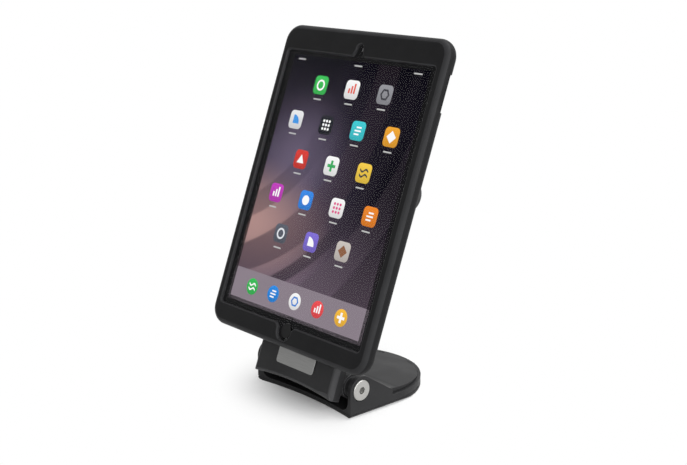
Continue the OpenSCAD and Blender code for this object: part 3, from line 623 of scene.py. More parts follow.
def settled(item: bpy.types.Object) -> bpy.types.Object:
    """Turns an object's modifiers into its plain mesh.

    Args:
        item: Object with modifiers.

    Returns:
        The same object, without modifiers.
    """
    graph = bpy.context.evaluated_depsgraph_get()
    mesh = bpy.data.meshes.new_from_object(item.evaluated_get(graph), depsgraph=graph)
    item.modifiers.clear()
    item.data = mesh
    return item


def attach(piece: bpy.types.Object, body: str) -> bpy.types.Object:
    """Rides a piece on a body and reports it.

    Args:
        piece: The finished piece.
        body: Name of the body it moves with.

    Returns:
        The same piece.
    """
    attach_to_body(piece, body)
    LOG.info("%s rides on %s, %d faces", piece.name, body, len(piece.data.polygons))
    return piece


@dataclass(frozen=True)
class Coat:
    """How one solid is dressed: its finish and the width of its softened edges."""

    node: str
    piece: str
    finish: Finish
    soft: float = 0.0
    segments: int = 2
    sharp: float = 30.0
    rim: bool = False
    front_share: float = 1.0
    rest_share: float = 0.0
    seats: tuple[str, ...] = ()
    lip: float = 0.0

    @property
    def body(self) -> str:
        """Body that carries the solid."""
        return frame["nodes"][self.node]["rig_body"]

    @property
    def slot(self) -> str:
        """Material slot of the solid in the record."""
        rows = frame["record"]["subparts"]
        return next(row["material_slot"] for row in rows if row["node"] == self.node)

    def welded(self) -> bpy.types.Mesh:
        """Copies the solid's mesh with its corners welded and its flat faces joined."""
        work = bmesh.new()
        work.from_mesh(frame["nodes"][self.node].data)
        bmesh.ops.remove_doubles(work, verts=work.verts, dist=WELD)
        bmesh.ops.dissolve_limit(work, angle_limit=FLAT_ANGLE, verts=work.verts, edges=work.edges)
        for face in work.faces:
            face.material_index = 0
        if self.rim:
            self.mark_rim(work)
        mesh = bpy.data.meshes.new(self.piece)
        work.to_mesh(mesh)
        work.free()
        return mesh

    def mark_rim(self, work: bmesh.types.BMesh) -> None:
        """Marks how far each sharp edge is softened: fully at the front's right-hand side, less elsewhere.

        The inner walls of a front lip get the painted highlight of the softened edges, and the faces of the
        outer rounding get a painted highlight band.

        Args:
            work: Welded mesh of the solid.
        """
        weight = work.edges.layers.float.new("bevel_weight_edge")
        front = TABLET_FRAME.level(self.node) - RIM_REACH
        box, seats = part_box(self.node), [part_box(seat) for seat in self.seats]
        for edge in work.edges:
            if edge.calc_face_angle(0.0) > math.radians(self.sharp):
                raised = all(TABLET_FRAME.height(corner.co) > front for corner in edge.verts)
                seated = any(self.within(corner.co, *seat) for corner in edge.verts for seat in seats)
                front_edge = raised and not seated
                edge[weight] = self.front_weight(edge, *box) if front_edge else self.rest_share
        for face in work.faces if self.lip else ():
            slope = face.normal.dot(TABLET_FRAME.normal)
            above = all(TABLET_FRAME.height(corner.co) > front - self.lip for corner in face.verts)
            inner = abs(slope) < WALL_SLOPE and above
            # Painted highlight on the lip's inner walls and on the outer rounding.
            if inner or ROUND_LOW < slope < ROUND_HIGH:
                face.material_index = list(Zone).index(Zone.EDGE if inner else Zone.ROUND)

    def front_weight(self, edge: bmesh.types.BMEdge, low: Vector, high: Vector) -> float:
        """Gives the softening of a front edge, which grows towards the right except along the foot.

        Args:
            edge: Edge around the front face.
            low: Low corner of the solid's box.
            high: High corner of the solid's box.

        Returns:
            The share of the full width.
        """
        start, end = (corner.co for corner in edge.verts)
        middle = (start + end) / 2
        across = abs((end - start).normalized().dot(TABLET_FRAME.up)) < SIDE_RUN
        if across and middle.z < (low.z + high.z) / 2:
            return self.front_share
        return self.front_share + (1 - self.front_share) * (middle.x - low.x) / (high.x - low.x)

    @staticmethod
    def within(point: Vector, low: Vector, high: Vector) -> bool:
        """Tells whether a point lies in a box or close around it."""
        return all(low[i] - SEAT_REACH < point[i] < high[i] + SEAT_REACH for i in range(3))

    def dress(self) -> bpy.types.Object:
        """Makes the softened, finished copy that stands for the solid.

        Returns:
            The new piece.
        """
        mesh = self.welded()
        for zone in Zone if self.lip else (Zone.FACE, Zone.EDGE):
            mesh.materials.append(self.finish.material(zone))
        piece = link(bpy.data.objects.new(self.piece, mesh))
        if self.soft:
            bevel = piece.modifiers.new("soft_edges", "BEVEL")
            bevel.width = self.soft
            bevel.segments = self.segments
            bevel.limit_method = "WEIGHT" if self.rim else "ANGLE"
            bevel.angle_limit = math.radians(self.sharp)
            bevel.use_clamp_overlap = False
            # The bevel's faces take the edge material, with its painted highlight.
            bevel.material = list(Zone).index(Zone.EDGE)
        settled(piece)
        piece.data.shade_smooth()
        piece.data.set_sharp_from_angle(angle=math.radians(self.sharp))
        weight = piece.modifiers.new("even_shading", "WEIGHTED_NORMAL")
        weight.keep_sharp = True
        settled(piece)
        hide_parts(self.node)
        return attach(piece, self.body)


@dataclass
class SubAssembly:
    """A group of solids that are dressed together."""

    coats: tuple[Coat, ...] = ()

    def build(self) -> None:
        """Dresses the solids of the group."""
        for coat in self.coats:
            coat.dress()


@dataclass
class Foot(SubAssembly):
    """Weighted foot with its plate, pad and hinge hardware."""

    casting_soft: float = 0.25 * MM
    plate_soft: float = 0.2 * MM
    bolt_soft: float = 0.15 * MM

    def build(self) -> None:
        """Dresses the foot's casting, plate, pad and hinge pieces."""
        self.coats = (
            Coat("base_body", "foot_casting", Finishes.CASTING, self.casting_soft, segments=3),
            Coat("base_plate", "foot_plate", Finishes.PLATE, self.plate_soft),
            Coat("foot_pad", "foot_rubber", Finishes.PAD),
            Coat("base_screws", "foot_screws", Finishes.SCREW),
            Coat("hinge_bolt", "hinge_bolt_head", Finishes.BOLT, self.bolt_soft),
            Coat("hinge_nut", "hinge_nut_head", Finishes.BOLT, self.bolt_soft),
            Coat("friction_washer", "hinge_washer", Finishes.BEARING),
            Coat("disc_springs", "hinge_springs", Finishes.SCREW),
        )
        super().build()


@dataclass
class Upright(SubAssembly):
    """Tilting upright with its bushes and its front plate."""

    plate_soft: float = 4.5 * MM
    left_share: float = 0.5
    rest_share: float = 0.1
    badge_soft: float = 0.35 * MM

    def build(self) -> None:
        """Dresses the upright and what it carries at its foot."""
        self.coats = (
            Coat("upright", "upright_plate", Finishes.UPRIGHT, self.plate_soft, segments=5, rim=True,
                 front_share=self.left_share, rest_share=self.rest_share,
                 seats=("badge_plate", "hub_bearing")),
            Coat("hinge_bushes", "upright_bushes", Finishes.BRONZE),
            Coat("badge_plate", "front_plate", Finishes.BADGE, self.badge_soft, segments=3),
        )
        super().build()


@dataclass
class Head(SubAssembly):
    """Turning head with its bearing, cover, key lock and mounting bar."""

    cover_soft: float = 0.12 * MM
    barrel_soft: float = 0.25 * MM
    plug_soft: float = 0.15 * MM

    def build(self) -> None:
        """Dresses the pieces of the head."""
        self.coats = (
            Coat("hub_bearing", "head_bearing", Finishes.BEARING),
            Coat("rear_cover", "head_cover", Finishes.PLASTIC, self.cover_soft),
            Coat("cover_screws", "head_cover_screws", Finishes.SCREW),
            Coat("lock_barrel", "key_lock_shell", Finishes.LOCK, self.barrel_soft, segments=3),
            Coat("lock_plug", "key_lock_plug", Finishes.LOCK, self.plug_soft),
            Coat("lock_cam", "key_lock_cam", Finishes.SCREW),
            Coat("hub_spindle", "head_spindle", Finishes.HUB),
            Coat("spindle_screws", "head_spindle_screws", Finishes.SCREW),
            Coat("hub_retainer", "head_retainer", Finishes.HUB),
            Coat("retainer_screws", "head_retainer_screws", Finishes.SCREW),
            Coat("mount_bar", "head_bar", Finishes.PLASTIC, self.cover_soft),
            Coat("bar_screws", "head_bar_screws", Finishes.SCREW),
        )
        super().build()


@dataclass
class Case(SubAssembly):
    """Rubber case with its stiff rear panel."""

    lip_soft: float = 1.0 * MM
    lip_rise: float = 2.5 * MM
    panel_soft: float = 0.3 * MM

    def build(self) -> None:
        """Dresses the rubber and the panel."""
        self.coats = (
            Coat("case_bumper", "case_rubber", Finishes.RUBBER, self.lip_soft, segments=3, rim=True,
                 lip=self.lip_rise),
            Coat("case_back", "case_panel", Finishes.PLASTIC, self.panel_soft),
        )
        super().build()


@dataclass
class Tablet(SubAssembly):
    """Tablet with its shell, glass, buttons and insides."""

    shell_soft: float = 0.3 * MM
    key_soft: float = 0.25 * MM
    round_soft: float = 0.2 * MM
    lens_soft: float = 0.15 * MM

    def build(self) -> None:
        """Dresses the tablet's solids and its glass."""
        self.coats = (
            Coat("tablet_housing", "tablet_shell", Finishes.SHELL, self.shell_soft),
            Coat("battery_pack", "tablet_cells", Finishes.CELL),
            Coat("logic_board", "tablet_board", Finishes.BOARD),
            Coat("charge_connector", "tablet_port", Finishes.SCREW),
            Coat("rear_camera", "tablet_rear_lens", Finishes.LENS, self.round_soft),
            Coat("front_camera", "tablet_front_lens", Finishes.LENS, self.lens_soft),
            Coat("bezel_mask", "glass_border_mask", Finishes.MASK),
            Coat("home_button", "home_key_cap", Finishes.HOME, self.round_soft),
            Coat("volume_up", "volume_up_cap", Finishes.SHELL, self.key_soft),
            Coat("volume_down", "volume_down_cap", Finishes.SHELL, self.key_soft),
            Coat("power_button", "power_cap", Finishes.SHELL, self.key_soft),
        )
        super().build()
        glass = frame["nodes"]["front_glass"].data.materials
        glass.clear()
        glass.append(GlassFinish().material())


@dataclass(frozen=True)
class Ribbon:
    """One broad bent ribbon that crosses the wallpaper on a slant."""

    offset: float
    width: float
    bend: float
    colour: Colour
    share: float


@dataclass(frozen=True)
class Patch:
    """One soft round patch of colour on the wallpaper."""

    centre: Point
    reach: float
    stretch: float
    colour: Colour
    share: float


@dataclass(frozen=True)
class Wallpaper:
    """Wallpaper of slanting ribbons on a soft blend, over a paler bar at the foot of the screen."""

    name: str = "screen_wallpaper"
    bar: float = 23.5 * MM
    zenith: Colour = shade(6, 5, 13)
    middle: Colour = shade(58, 51, 68)
    low: Colour = shade(116, 99, 114)
    bar_colour: Colour = shade(140, 129, 139)
    slant: float = math.radians(57.0)
    soft: float = 3.0 * MM
    fade_to: float = 0.7
    fade_rest: float = 0.15
    bar_share: float = 0.92
    bar_soft: float = 0.1 * MM
    patches: tuple[Patch, ...] = (
        Patch((-38.0 * MM, 16.0 * MM), 66.0 * MM, 1.0, shade(138, 124, 152), 0.42),
        Patch((74.0 * MM, 10.0 * MM), 110.0 * MM, 0.7, shade(2, 2, 8), 0.92),
        Patch((-74.0 * MM, -37.5 * MM), 100.0 * MM, 1.8, shade(184, 146, 140), 0.85),
    )
    ribbons: tuple[Ribbon, ...] = (
        Ribbon(-92.0 * MM, 40.0 * MM, 1.6, shade(58, 50, 58), 0.8),
        Ribbon(-60.0 * MM, 26.0 * MM, 2.2, shade(84, 73, 84), 0.7),
        Ribbon(-36.0 * MM, 14.0 * MM, 2.8, shade(44, 38, 48), 0.75),
        Ribbon(-8.0 * MM, 30.0 * MM, 3.4, shade(76, 61, 72), 0.75),
        Ribbon(34.0 * MM, 22.0 * MM, 4.0, shade(40, 35, 52), 0.5),
    )

    def material(self, height: float) -> bpy.types.Material:
        """Makes the lit wallpaper.

        Args:
            height: Height of the lit screen.

        Returns:
            A material that glows with the wallpaper's colours.
        """
        material, sheet, surface = new_material(self.name)
        split = sheet.add("ShaderNodeSeparateXYZ")
        sheet.feed(split.inputs[0], TABLET_FRAME.seat().coordinates(sheet))
        across, up = split.outputs[0], split.outputs[1]
        half = height / 2
        paint = sheet.blend(sheet.spread(up, half, 0.0, 0.0, 1.0), self.zenith, self.middle)
        paint = sheet.blend(sheet.spread(up, 0.0, -half, 0.0, 1.0), paint, self.low)
        for patch in self.patches:
            beside = sheet.math("SUBTRACT", across, patch.centre[0])
            above = sheet.math("MULTIPLY", sheet.math("SUBTRACT", up, patch.centre[1]), patch.stretch)
            distance = sheet.math("SQRT", sheet.math("ADD", sheet.math("MULTIPLY", beside, beside),
                                                     sheet.math("MULTIPLY", above, above)))
            mask = sheet.spread(distance, 0.0, patch.reach, patch.share, 0.0, True)
            paint = sheet.blend(mask, paint, patch.colour)
        along = sheet.math("ADD", sheet.math("MULTIPLY", across, math.cos(self.slant)),
                           sheet.math("MULTIPLY", up, math.sin(self.slant)))
        aside = sheet.math("SUBTRACT", sheet.math("MULTIPLY", up, math.cos(self.slant)),
                           sheet.math("MULTIPLY", across, math.sin(self.slant)))
        reach = sheet.spread(along, -half, self.fade_to * half, 1.0, self.fade_rest, True)
        bow = sheet.math("MULTIPLY", along, along)
        for ribbon in self.ribbons:
            middle = sheet.math("MULTIPLY_ADD", bow, ribbon.bend, ribbon.offset)
            gap = sheet.math("ABSOLUTE", sheet.math("SUBTRACT", aside, middle))
            mask = sheet.spread(gap, ribbon.width / 2, ribbon.width / 2 - self.soft, 0.0, ribbon.share, True)
            paint = sheet.blend(sheet.math("MULTIPLY", mask, reach), paint, ribbon.colour)
        edge = -half + self.bar
        below = sheet.spread(up, edge + self.bar_soft, edge, 0.0, self.bar_share)
        make_lit(sheet, surface, sheet.blend(below, paint, self.bar_colour))
        return material


@dataclass(frozen=True)
class LitTint:
    """Glowing finish of the tiles and marks, in the colour each of them carries."""

    name: str = "screen_tint"
    low: Colour = (0.7, 0.7, 0.7, 1.0)

    def material(self) -> bpy.types.Material:
        """Makes the material that reads the tint and lift attributes.

        Returns:
            A material that glows with each tile's colour, dimmer at the tile's foot.
        """
        material, sheet, surface = new_material(self.name)
        tint = sheet.add("ShaderNodeAttribute", attribute_name="tint")
        lift = sheet.add("ShaderNodeAttribute", attribute_name="lift")
        factor = sheet.spread(lift.outputs["Fac"], 0.0, 1.0, 0.0, 1.0)
        dim = sheet.add("ShaderNodeMix", data_type="RGBA", blend_type="MULTIPLY")
        dim.inputs["Factor"].default_value = 1.0
        sheet.feed(dim.inputs[6], tint.outputs["Color"])
        sheet.feed(dim.inputs[7], sheet.blend(factor, self.low, WHITE))
        make_lit(sheet, surface, dim.outputs[2])
        return material


class Motif(Enum):
    """Plain geometric marks on the tiles."""

    DISC = "disc"
    RING = "ring"
    BARS = "bars"
    PLUS = "plus"
    DIAMOND = "diamond"
    DOTS = "dots"
    STEPS = "steps"
    WEDGE = "wedge"
    TRIANGLE = "triangle"
    WAVE = "wave"
    HEXAGON = "hexagon"


def arc(centre: Point, radius: float, start: float, stop: float, steps: int) -> list[Point]:
    """Gives points along an arc.

    Args:
        centre: Middle of the arc.
        radius: Radius of the arc.
        start: Start angle in turns.
        stop: End angle in turns.
        steps: Number of pieces.

    Returns:
        The points from start to stop.
    """
    angles = [math.tau * (start + (stop - start) * i / steps) for i in range(steps + 1)]
    return [(centre[0] + radius * math.cos(a), centre[1] + radius * math.sin(a)) for a in angles]


def box_outline(centre: Point, width: float, height: float) -> list[Point]:
    """Gives the corners of an upright rectangle."""
    x, y = width / 2, height / 2
    return [(centre[0] + sx * x, centre[1] + sy * y) for sx, sy in ((-1, -1), (1, -1), (1, 1), (-1, 1))]


def ring_halves(outer: float, inner: float, steps: int) -> list[list[Point]]:
    """Gives the two halves of a ring with the given radii and pieces per half."""
    return [arc((0, 0), outer, start, start + 0.5, steps) + arc((0, 0), inner, start + 0.5, start, steps)
            for start in (0.0, 0.5)]


def motif_outlines(motif: Motif) -> list[list[Point]]:
    """Gives the filled outlines of a motif, in units of half a tile.

    Args:
        motif: The motif that is wanted.

    Returns:
        Closed outlines, each without its first point repeated.
    """
    if motif is Motif.DISC:
        return [arc((0, 0), 0.52, 0, 1, 28)[:-1]]
    if motif is Motif.RING:
        return ring_halves(0.6, 0.4, 16)
    if motif is Motif.BARS:
        return [box_outline((0.38 * (i - 1), 0.14 * i - 0.14), 0.22, 0.5 + 0.28 * i) for i in range(3)]
    if motif is Motif.PLUS:
        a, b = 0.16, 0.58
        return [[(-a, -b), (a, -b), (a, -a), (b, -a), (b, a), (a, a), (a, b), (-a, b), (-a, a), (-b, a),
                 (-b, -a), (-a, -a)]]
    if motif is Motif.DIAMOND:
        return [arc((0, 0), 0.64, 0, 1, 4)[:-1]]
    if motif is Motif.DOTS:
        return [arc((0.42 * i, 0.42 * j), 0.15, 0, 1, 16)[:-1] for i in (-1, 0, 1) for j in (-1, 0, 1)]
    if motif is Motif.STEPS:
        return [box_outline((0.1 * i, 0.36 * i), 0.9 - 0.2 * abs(i), 0.17) for i in (-1, 0, 1)]
    if motif is Motif.WEDGE:
        return [[(-0.42, -0.42)] + arc((-0.42, -0.42), 0.95, 0, 0.25, 16)]
    if motif is Motif.TRIANGLE:
        return [arc((0, -0.08), 0.62, 0.25, 1.25, 3)[:-1]]
    if motif is Motif.WAVE:
        rows = []
        for level in (-0.26, 0.26):
            top = [(x / 10, level + 0.1 + 0.14 * math.sin(x * 0.62)) for x in range(-6, 7)]
            rows.append([(x, y - 0.2) for x, y in top] + top[::-1])
        return rows
    return ring_halves(0.64, 0.42, 3)


@dataclass(frozen=True)
class Tile:
    """One tile of the screen: its place, colour and motif."""

    at: Point
    colour: Colour
    motif: Motif
    ink: Colour


class TileField:
    """Geometry Nodes tree that sets rounded tiles on points."""

    SIZES = ("Width", "Height", "Corner", "Depth")
    CORNER_STEPS = 6
    MERGE = 0.001 * MM

    def __init__(self) -> None:
        """Builds the tree once."""
        self.tree = bpy.data.node_groups.new("rounded_tiles", "GeometryNodeTree")
        face = self.tree.interface
        face.new_socket("Geometry", in_out="INPUT", socket_type="NodeSocketGeometry")
        for name in self.SIZES:
            face.new_socket(name, in_out="INPUT", socket_type="NodeSocketFloat")
        face.new_socket("Material", in_out="INPUT", socket_type="NodeSocketMaterial")
        face.new_socket("Geometry", in_out="OUTPUT", socket_type="NodeSocketGeometry")
        self.fill(NodeSheet(self.tree))

    def fill(self, sheet: NodeSheet) -> None:
        """Adds the nodes: a rounded plate, set on each point, realized and given its material."""
        start, end = sheet.add("NodeGroupInput"), sheet.add("NodeGroupOutput")
        outline = sheet.add("GeometryNodeCurvePrimitiveQuadrilateral", mode="RECTANGLE")
        sheet.feed_all(outline, {"Width": start.outputs["Width"], "Height": start.outputs["Height"]})
        fillet = sheet.add("GeometryNodeFilletCurve", mode="POLY")
        sheet.feed_all(fillet, {"Curve": outline.outputs[0], "Radius": start.outputs["Corner"],
                                "Count": self.CORNER_STEPS, "Limit Radius": True})
        plate = sheet.add("GeometryNodeFillCurve", mode="NGONS")
        sheet.feed(plate.inputs["Curve"], fillet.outputs[0])
        raised = sheet.add("GeometryNodeExtrudeMesh", mode="FACES")
        sheet.feed_all(raised, {"Mesh": plate.outputs[0], "Offset Scale": start.outputs["Depth"],
                                "Individual": False})
        under = sheet.add("GeometryNodeFlipFaces")
        sheet.feed(under.inputs["Mesh"], plate.outputs[0])
        joined = sheet.add("GeometryNodeJoinGeometry")
        sheet.feed(joined.inputs[0], raised.outputs["Mesh"])
        sheet.feed(joined.inputs[0], under.outputs[0])
        closed = sheet.add("GeometryNodeMergeByDistance")
        sheet.feed_all(closed, {"Geometry": joined.outputs[0], "Distance": self.MERGE})
        place = sheet.add("ShaderNodeSeparateXYZ")
        sheet.feed(place.inputs[0], sheet.add("GeometryNodeInputPosition").outputs[0])
        share = sheet.math("DIVIDE", place.outputs[1], start.outputs["Height"])
        lift = sheet.add("GeometryNodeStoreNamedAttribute", data_type="FLOAT", domain="POINT")
        sheet.feed_all(lift, {"Geometry": closed.outputs[0], "Name": "lift",
                              "Value": sheet.math("ADD", share, 0.5)})
        spread = sheet.add("GeometryNodeInstanceOnPoints")
        sheet.feed_all(spread, {"Points": start.outputs["Geometry"], "Instance": lift.outputs[0]})
        solid = sheet.add("GeometryNodeRealizeInstances")
        sheet.feed(solid.inputs[0], spread.outputs[0])
        coat = sheet.add("GeometryNodeSetMaterial")
        sheet.feed_all(coat, {"Geometry": solid.outputs[0], "Material": start.outputs["Material"]})
        sheet.feed(end.inputs[0], coat.outputs[0])

    def lay(self, name: str, spots: list[tuple[Point, Colour]], level: float, sizes: tuple[float, ...],
            material: bpy.types.Material) -> bpy.types.Object:
        """Lays tiles on the screen.

        Args:
            name: Name of the piece.
            spots: Centre and colour of each tile.
            level: Height of the tiles' backs along n.
            sizes: Width, height, corner and depth of a tile.
            material: Material of the tiles.

        Returns:
            The finished piece.
        """
        mesh = bpy.data.meshes.new(name)
        mesh.from_pydata([(at[0], at[1], level) for at, _ in spots], [], [])
        tint = mesh.attributes.new("tint", "FLOAT_COLOR", "POINT")
        for row, (_, colour) in zip(tint.data, spots):
            row.color = colour
        piece = link(bpy.data.objects.new(name, mesh))
        modifier = piece.modifiers.new("tiles", "NODES")
        modifier.node_group = self.tree
        values = dict(zip(self.SIZES, sizes)) | {"Material": material}
        for socket in self.tree.interface.items_tree:
            if socket.in_out == "INPUT" and socket.name in values:
                modifier[socket.identifier] = values[socket.name]
        settled(piece)
        piece.data.transform(TABLET_FRAME.matrix())
        return piece


@dataclass
class Screen:
    """Lit screen: wallpaper, tiles with plain motifs, captions and a row of round keys."""

    body: str = "tablet_case"
    slot: str = "screen"
    tile: float = 14.6 * MM
    corner: float = 3.4 * MM
    depth: float = 0.06 * MM
    pitch_u: float = 35.0 * MM
    pitch_v: float = 29.5 * MM
    first_v: float = 77.0 * MM
    row_counts: tuple[int, ...] = (3, 4, 3, 4, 3)
    caption: tuple[float, float] = (8.5 * MM, 1.1 * MM)
    caption_drop: float = 11.2 * MM
    key_v: float = -87.0 * MM
    key_pitch: float = 25.5 * MM
    key_size: float = 13.0 * MM
    status_drop: float = 3.2 * MM
    status_at: tuple[float, ...] = (-64.0 * MM, 0.0, 62.0 * MM)
    caption_dim: float = 0.62
    border: float = 2.5 * MM
    film: float = 0.02 * MM
    white: Colour = shade(250, 250, 250)
    ink: Colour = shade(62, 62, 68)

    def lit_height(self) -> float:
        """Gives the lit height, inside the panel's own border."""
        return LeaningFrame.thickness("display_panel", TABLET_FRAME.up) - 2 * self.border

    def tiles(self) -> list[Tile]:
        """Lists the tiles in staggered rows of three and four."""
        white, ink = self.white, self.ink
        looks = (
            (shade(64, 196, 92), Motif.RING, white), (white, Motif.BARS, shade(226, 88, 70)),
            (shade(150, 150, 156), Motif.HEXAGON, ink),
            (shade(236, 236, 238), Motif.WEDGE, shade(70, 150, 226)), (shade(38, 40, 46), Motif.DOTS, white),
            (shade(66, 204, 214), Motif.STEPS, white), (shade(242, 168, 52), Motif.DIAMOND, white),
            (shade(218, 64, 56), Motif.TRIANGLE, white), (white, Motif.PLUS, shade(60, 170, 96)),
            (shade(246, 206, 76), Motif.WAVE, ink),
            (shade(196, 66, 190), Motif.BARS, white), (shade(58, 138, 232), Motif.DISC, white),
            (white, Motif.DOTS, shade(222, 92, 140)), (shade(240, 136, 44), Motif.STEPS, white),
            (shade(92, 96, 108), Motif.RING, shade(224, 226, 232)),
            (shade(130, 112, 214), Motif.WEDGE, white),
            (shade(204, 196, 190), Motif.DIAMOND, shade(140, 96, 70)),
        )
        places: list[Point] = []
        for row, count in enumerate(self.row_counts):
            v = self.first_v - row * self.pitch_v
            places += [((i - (count - 1) / 2) * self.pitch_u, v) for i in range(count)]
        return [Tile(at, *look) for at, look in zip(places, looks)]

    def keys(self) -> list[Tile]:
        """Lists the round keys in the bar at the foot of the screen."""
        white = self.white
        looks = (
            (shade(60, 190, 90), Motif.WAVE, white), (shade(46, 140, 228), Motif.STEPS, white),
            (white, Motif.HEXAGON, shade(70, 130, 210)),
            (shade(240, 80, 84), Motif.BARS, white), (shade(250, 190, 64), Motif.PLUS, white),
        )
        middle = (len(looks) - 1) / 2
        return [Tile(((i - middle) * self.key_pitch, self.key_v), *look) for i, look in enumerate(looks)]

    def marks(self, tiles: list[Tile], size: float, level: float, material: bpy.types.Material,
              name: str) -> bpy.types.Object:
        """Makes the motifs of a set of tiles as thin plates.

        Args:
            tiles: Tiles that carry the motifs.
            size: Size of a tile.
            level: Height of the plates' backs along n.
            material: Material of the plates.
            name: Name of the piece.

        Returns:
            The finished piece.
        """
        work = bmesh.new()
        tint = work.verts.layers.float_color.new("tint")
        lift = work.verts.layers.float.new("lift")
        for tile in tiles:
            for outline in motif_outlines(tile.motif):
                points = [(tile.at[0] + x * size / 2, tile.at[1] + y * size / 2) for x, y in outline]
                self.plate(work, points, level, tile.ink, tint, lift)
        bmesh.ops.recalc_face_normals(work, faces=work.faces)
        mesh = bpy.data.meshes.new(name)
        work.to_mesh(mesh)
        work.free()
        mesh.materials.append(material)
        mesh.transform(TABLET_FRAME.matrix())
        return link(bpy.data.objects.new(name, mesh))

    def plate(self, work: bmesh.types.BMesh, points: list[Point], level: float, colour: Colour,
              tint: bmesh.types.BMLayerItem, lift: bmesh.types.BMLayerItem) -> None:
        """Adds one closed thin plate.

        Args:
            work: Mesh that the plate goes into.
            points: Outline of the plate.
            level: Height of its back.
            colour: Colour that its corners carry.
            tint: Layer of the colour.
            lift: Layer of the brightness.
        """
        rings = [[work.verts.new((x, y, z)) for x, y in points] for z in (level, level + self.depth)]
        for corner in rings[0] + rings[1]:
            corner[tint] = colour
            corner[lift] = 1.0
        work.faces.new(rings[0][::-1])
        work.faces.new(rings[1])
        for i in range(len(points)):
            j = (i + 1) % len(points)
            work.faces.new((rings[0][i], rings[0][j], rings[1][j], rings[1][i]))

    def build(self) -> None:
        """Lights the panel and lays the tiles, captions, keys and marks on it."""
        height = self.lit_height()
        panel = frame["nodes"]["display_panel"].data.materials
        panel.clear()
        panel.append(Wallpaper().material(height))
        glow = LitTint().material()
        layer = TileField()
        ground = TABLET_FRAME.level("display_panel") + self.film
        upper = ground + self.depth + self.film
        tiles, keys = self.tiles(), self.keys()
        pale = scaled(self.white, self.caption_dim)
        captions = [((tile.at[0], tile.at[1] - self.caption_drop), pale) for tile in tiles]
        captions += [((u, height / 2 - self.status_drop), pale) for u in self.status_at]
        sets = (
            ("screen_tiles", [(tile.at, tile.colour) for tile in tiles], (self.tile, self.tile, self.corner)),
            ("screen_keys", [(key.at, key.colour) for key in keys],
             (self.key_size, self.key_size, self.key_size / 2)),
            ("screen_captions", captions, (*self.caption, self.caption[1] / 2)),
        )
        for name, spots, sizes in sets:
            piece = layer.lay(name, spots, ground, (*sizes, self.depth), glow)
            attach(piece, self.body)
        attach(self.marks(tiles, self.tile, upper, glow, "screen_motifs"), self.body)
        attach(self.marks(keys, self.key_size, upper, glow, "screen_key_motifs"), self.body)


@dataclass(frozen=True)
class Softbox:
    """One soft lamp of the studio."""

    name: str
    at: tuple[float, float, float]
    aim: tuple[float, float, float]
    size: tuple[float, float]
    watts: float


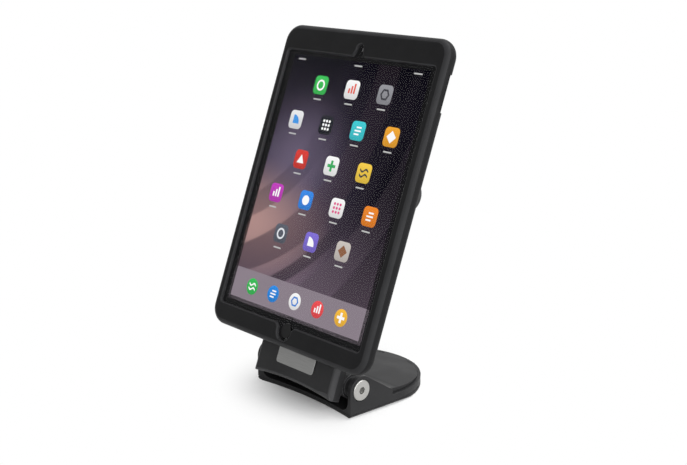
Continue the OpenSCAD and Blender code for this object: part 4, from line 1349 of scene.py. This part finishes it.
@dataclass
class Studio:
    """White studio: floor, soft lamps, pale surroundings and the camera."""

    camera_at: tuple[float, float, float] = (0.6451, -0.6012, 0.3577)
    camera_view: tuple[float, float, float] = (-0.71135, 0.65421, -0.25690)
    lens: float = 62.04
    sensor: float = 36.0
    floor_half: float = 4.0
    floor_drop: float = 0.05 * MM
    floor_tone: float = 0.92
    floor_rough: float = 0.9
    white_from: float = 0.042
    white_at: float = 0.11
    white_share: float = 0.1
    ambient: float = 0.2
    lamps: tuple[Softbox, ...] = (
        Softbox("overhead_softbox", (0.4, 0.6, 1.45), (0.0, 0.0, 0.0), (1.2, 1.2), 20.0),
        Softbox("side_softbox", (1.5, -0.35, 0.75), (0.0, 0.0, 0.1), (2.4, 1.0), 30.0),
    )

    def build(self) -> None:
        """Sets up the camera, the floor, the lamps and the surroundings."""
        scene = bpy.context.scene
        scene.view_settings.view_transform = "Standard"
        self.camera(scene)
        self.floor()
        for lamp in self.lamps:
            self.lamp(lamp)
        self.surroundings(scene)

    def camera(self, scene: bpy.types.Scene) -> None:
        """Places the camera at the photograph's viewpoint."""
        data = bpy.data.cameras.new("front_camera_view")
        data.lens = self.lens
        data.sensor_width = self.sensor
        data.sensor_fit = "HORIZONTAL"
        camera = link(bpy.data.objects.new("front_camera_view", data))
        camera.location = self.camera_at
        camera.rotation_euler = Vector(self.camera_view).to_track_quat("-Z", "Y").to_euler()
        scene.camera = camera

    def lamp(self, softbox: Softbox) -> None:
        """Adds one soft lamp."""
        data = bpy.data.lights.new(softbox.name, "AREA")
        data.shape = "RECTANGLE"
        data.size, data.size_y = softbox.size
        data.energy = softbox.watts
        lamp = link(bpy.data.objects.new(softbox.name, data))
        lamp.location = softbox.at
        aim = Vector(softbox.aim) - Vector(softbox.at)
        lamp.rotation_euler = aim.to_track_quat("-Z", "Y").to_euler()

    def seen(self, sheet: NodeSheet) -> bpy.types.NodeSocket:
        """Gives 1 for rays from the camera, from gloss and through glass, otherwise 0."""
        path = sheet.add("ShaderNodeLightPath").outputs
        direct = sheet.math("ADD", path["Is Camera Ray"], path["Is Glossy Ray"])
        return sheet.math("ADD", direct, path["Is Transmission Ray"], clamp=True)

    def floor(self) -> None:
        """Lays the pale floor, which goes over to plain white away from the object."""
        half = self.floor_half
        mesh = bpy.data.meshes.new("studio_floor")
        corners = [(x * half, y * half, -self.floor_drop) for x, y in ((-1, -1), (1, -1), (1, 1), (-1, 1))]
        mesh.from_pydata(corners, [], [(0, 1, 2, 3)])
        material, sheet, surface = new_material("studio_floor")
        sheet.feed_all(surface, {"Base Color": scaled(WHITE, self.floor_tone),
                                 "Roughness": self.floor_rough, "Specular IOR Level": 0.0})
        white = sheet.add("ShaderNodeEmission")
        length = sheet.add("ShaderNodeVectorMath", operation="LENGTH")
        sheet.feed(length.inputs[0], sheet.add("ShaderNodeTexCoord").outputs["Object"])
        reach = (self.white_from, self.white_at, self.white_share, 1.0)
        far = sheet.spread(length.outputs["Value"], *reach, True)
        mix = sheet.add("ShaderNodeMixShader")
        sheet.feed(mix.inputs[0], sheet.math("MULTIPLY", far, self.seen(sheet)))
        sheet.feed(mix.inputs[1], surface.outputs[0])
        sheet.feed(mix.inputs[2], white.outputs[0])
        sheet.feed(material.node_tree.nodes["Material Output"].inputs["Surface"], mix.outputs[0])
        mesh.materials.append(material)
        link(bpy.data.objects.new("studio_floor", mesh))

    def surroundings(self, scene: bpy.types.Scene) -> None:
        """Lights the scene evenly and shows plain white behind it."""
        world = bpy.data.worlds.new("studio_white")
        world.use_nodes = True
        sheet = NodeSheet(world.node_tree)
        shown = sheet.spread(self.seen(sheet), 0.0, 1.0, self.ambient, 1.0)
        background = world.node_tree.nodes["Background"]
        sheet.feed_all(background, {"Color": WHITE, "Strength": shown})
        scene.world = world


def main() -> None:
    """Builds the studio and every sub-assembly."""
    logging.basicConfig(level=logging.INFO, format="%(name)s: %(message)s")
    for part in (Studio(), Foot(), Upright(), Head(), Case(), Tablet(), Screen()):
        part.build()
        LOG.info("%s is dressed", type(part).__name__)


if __name__ == "__main__":
    main()
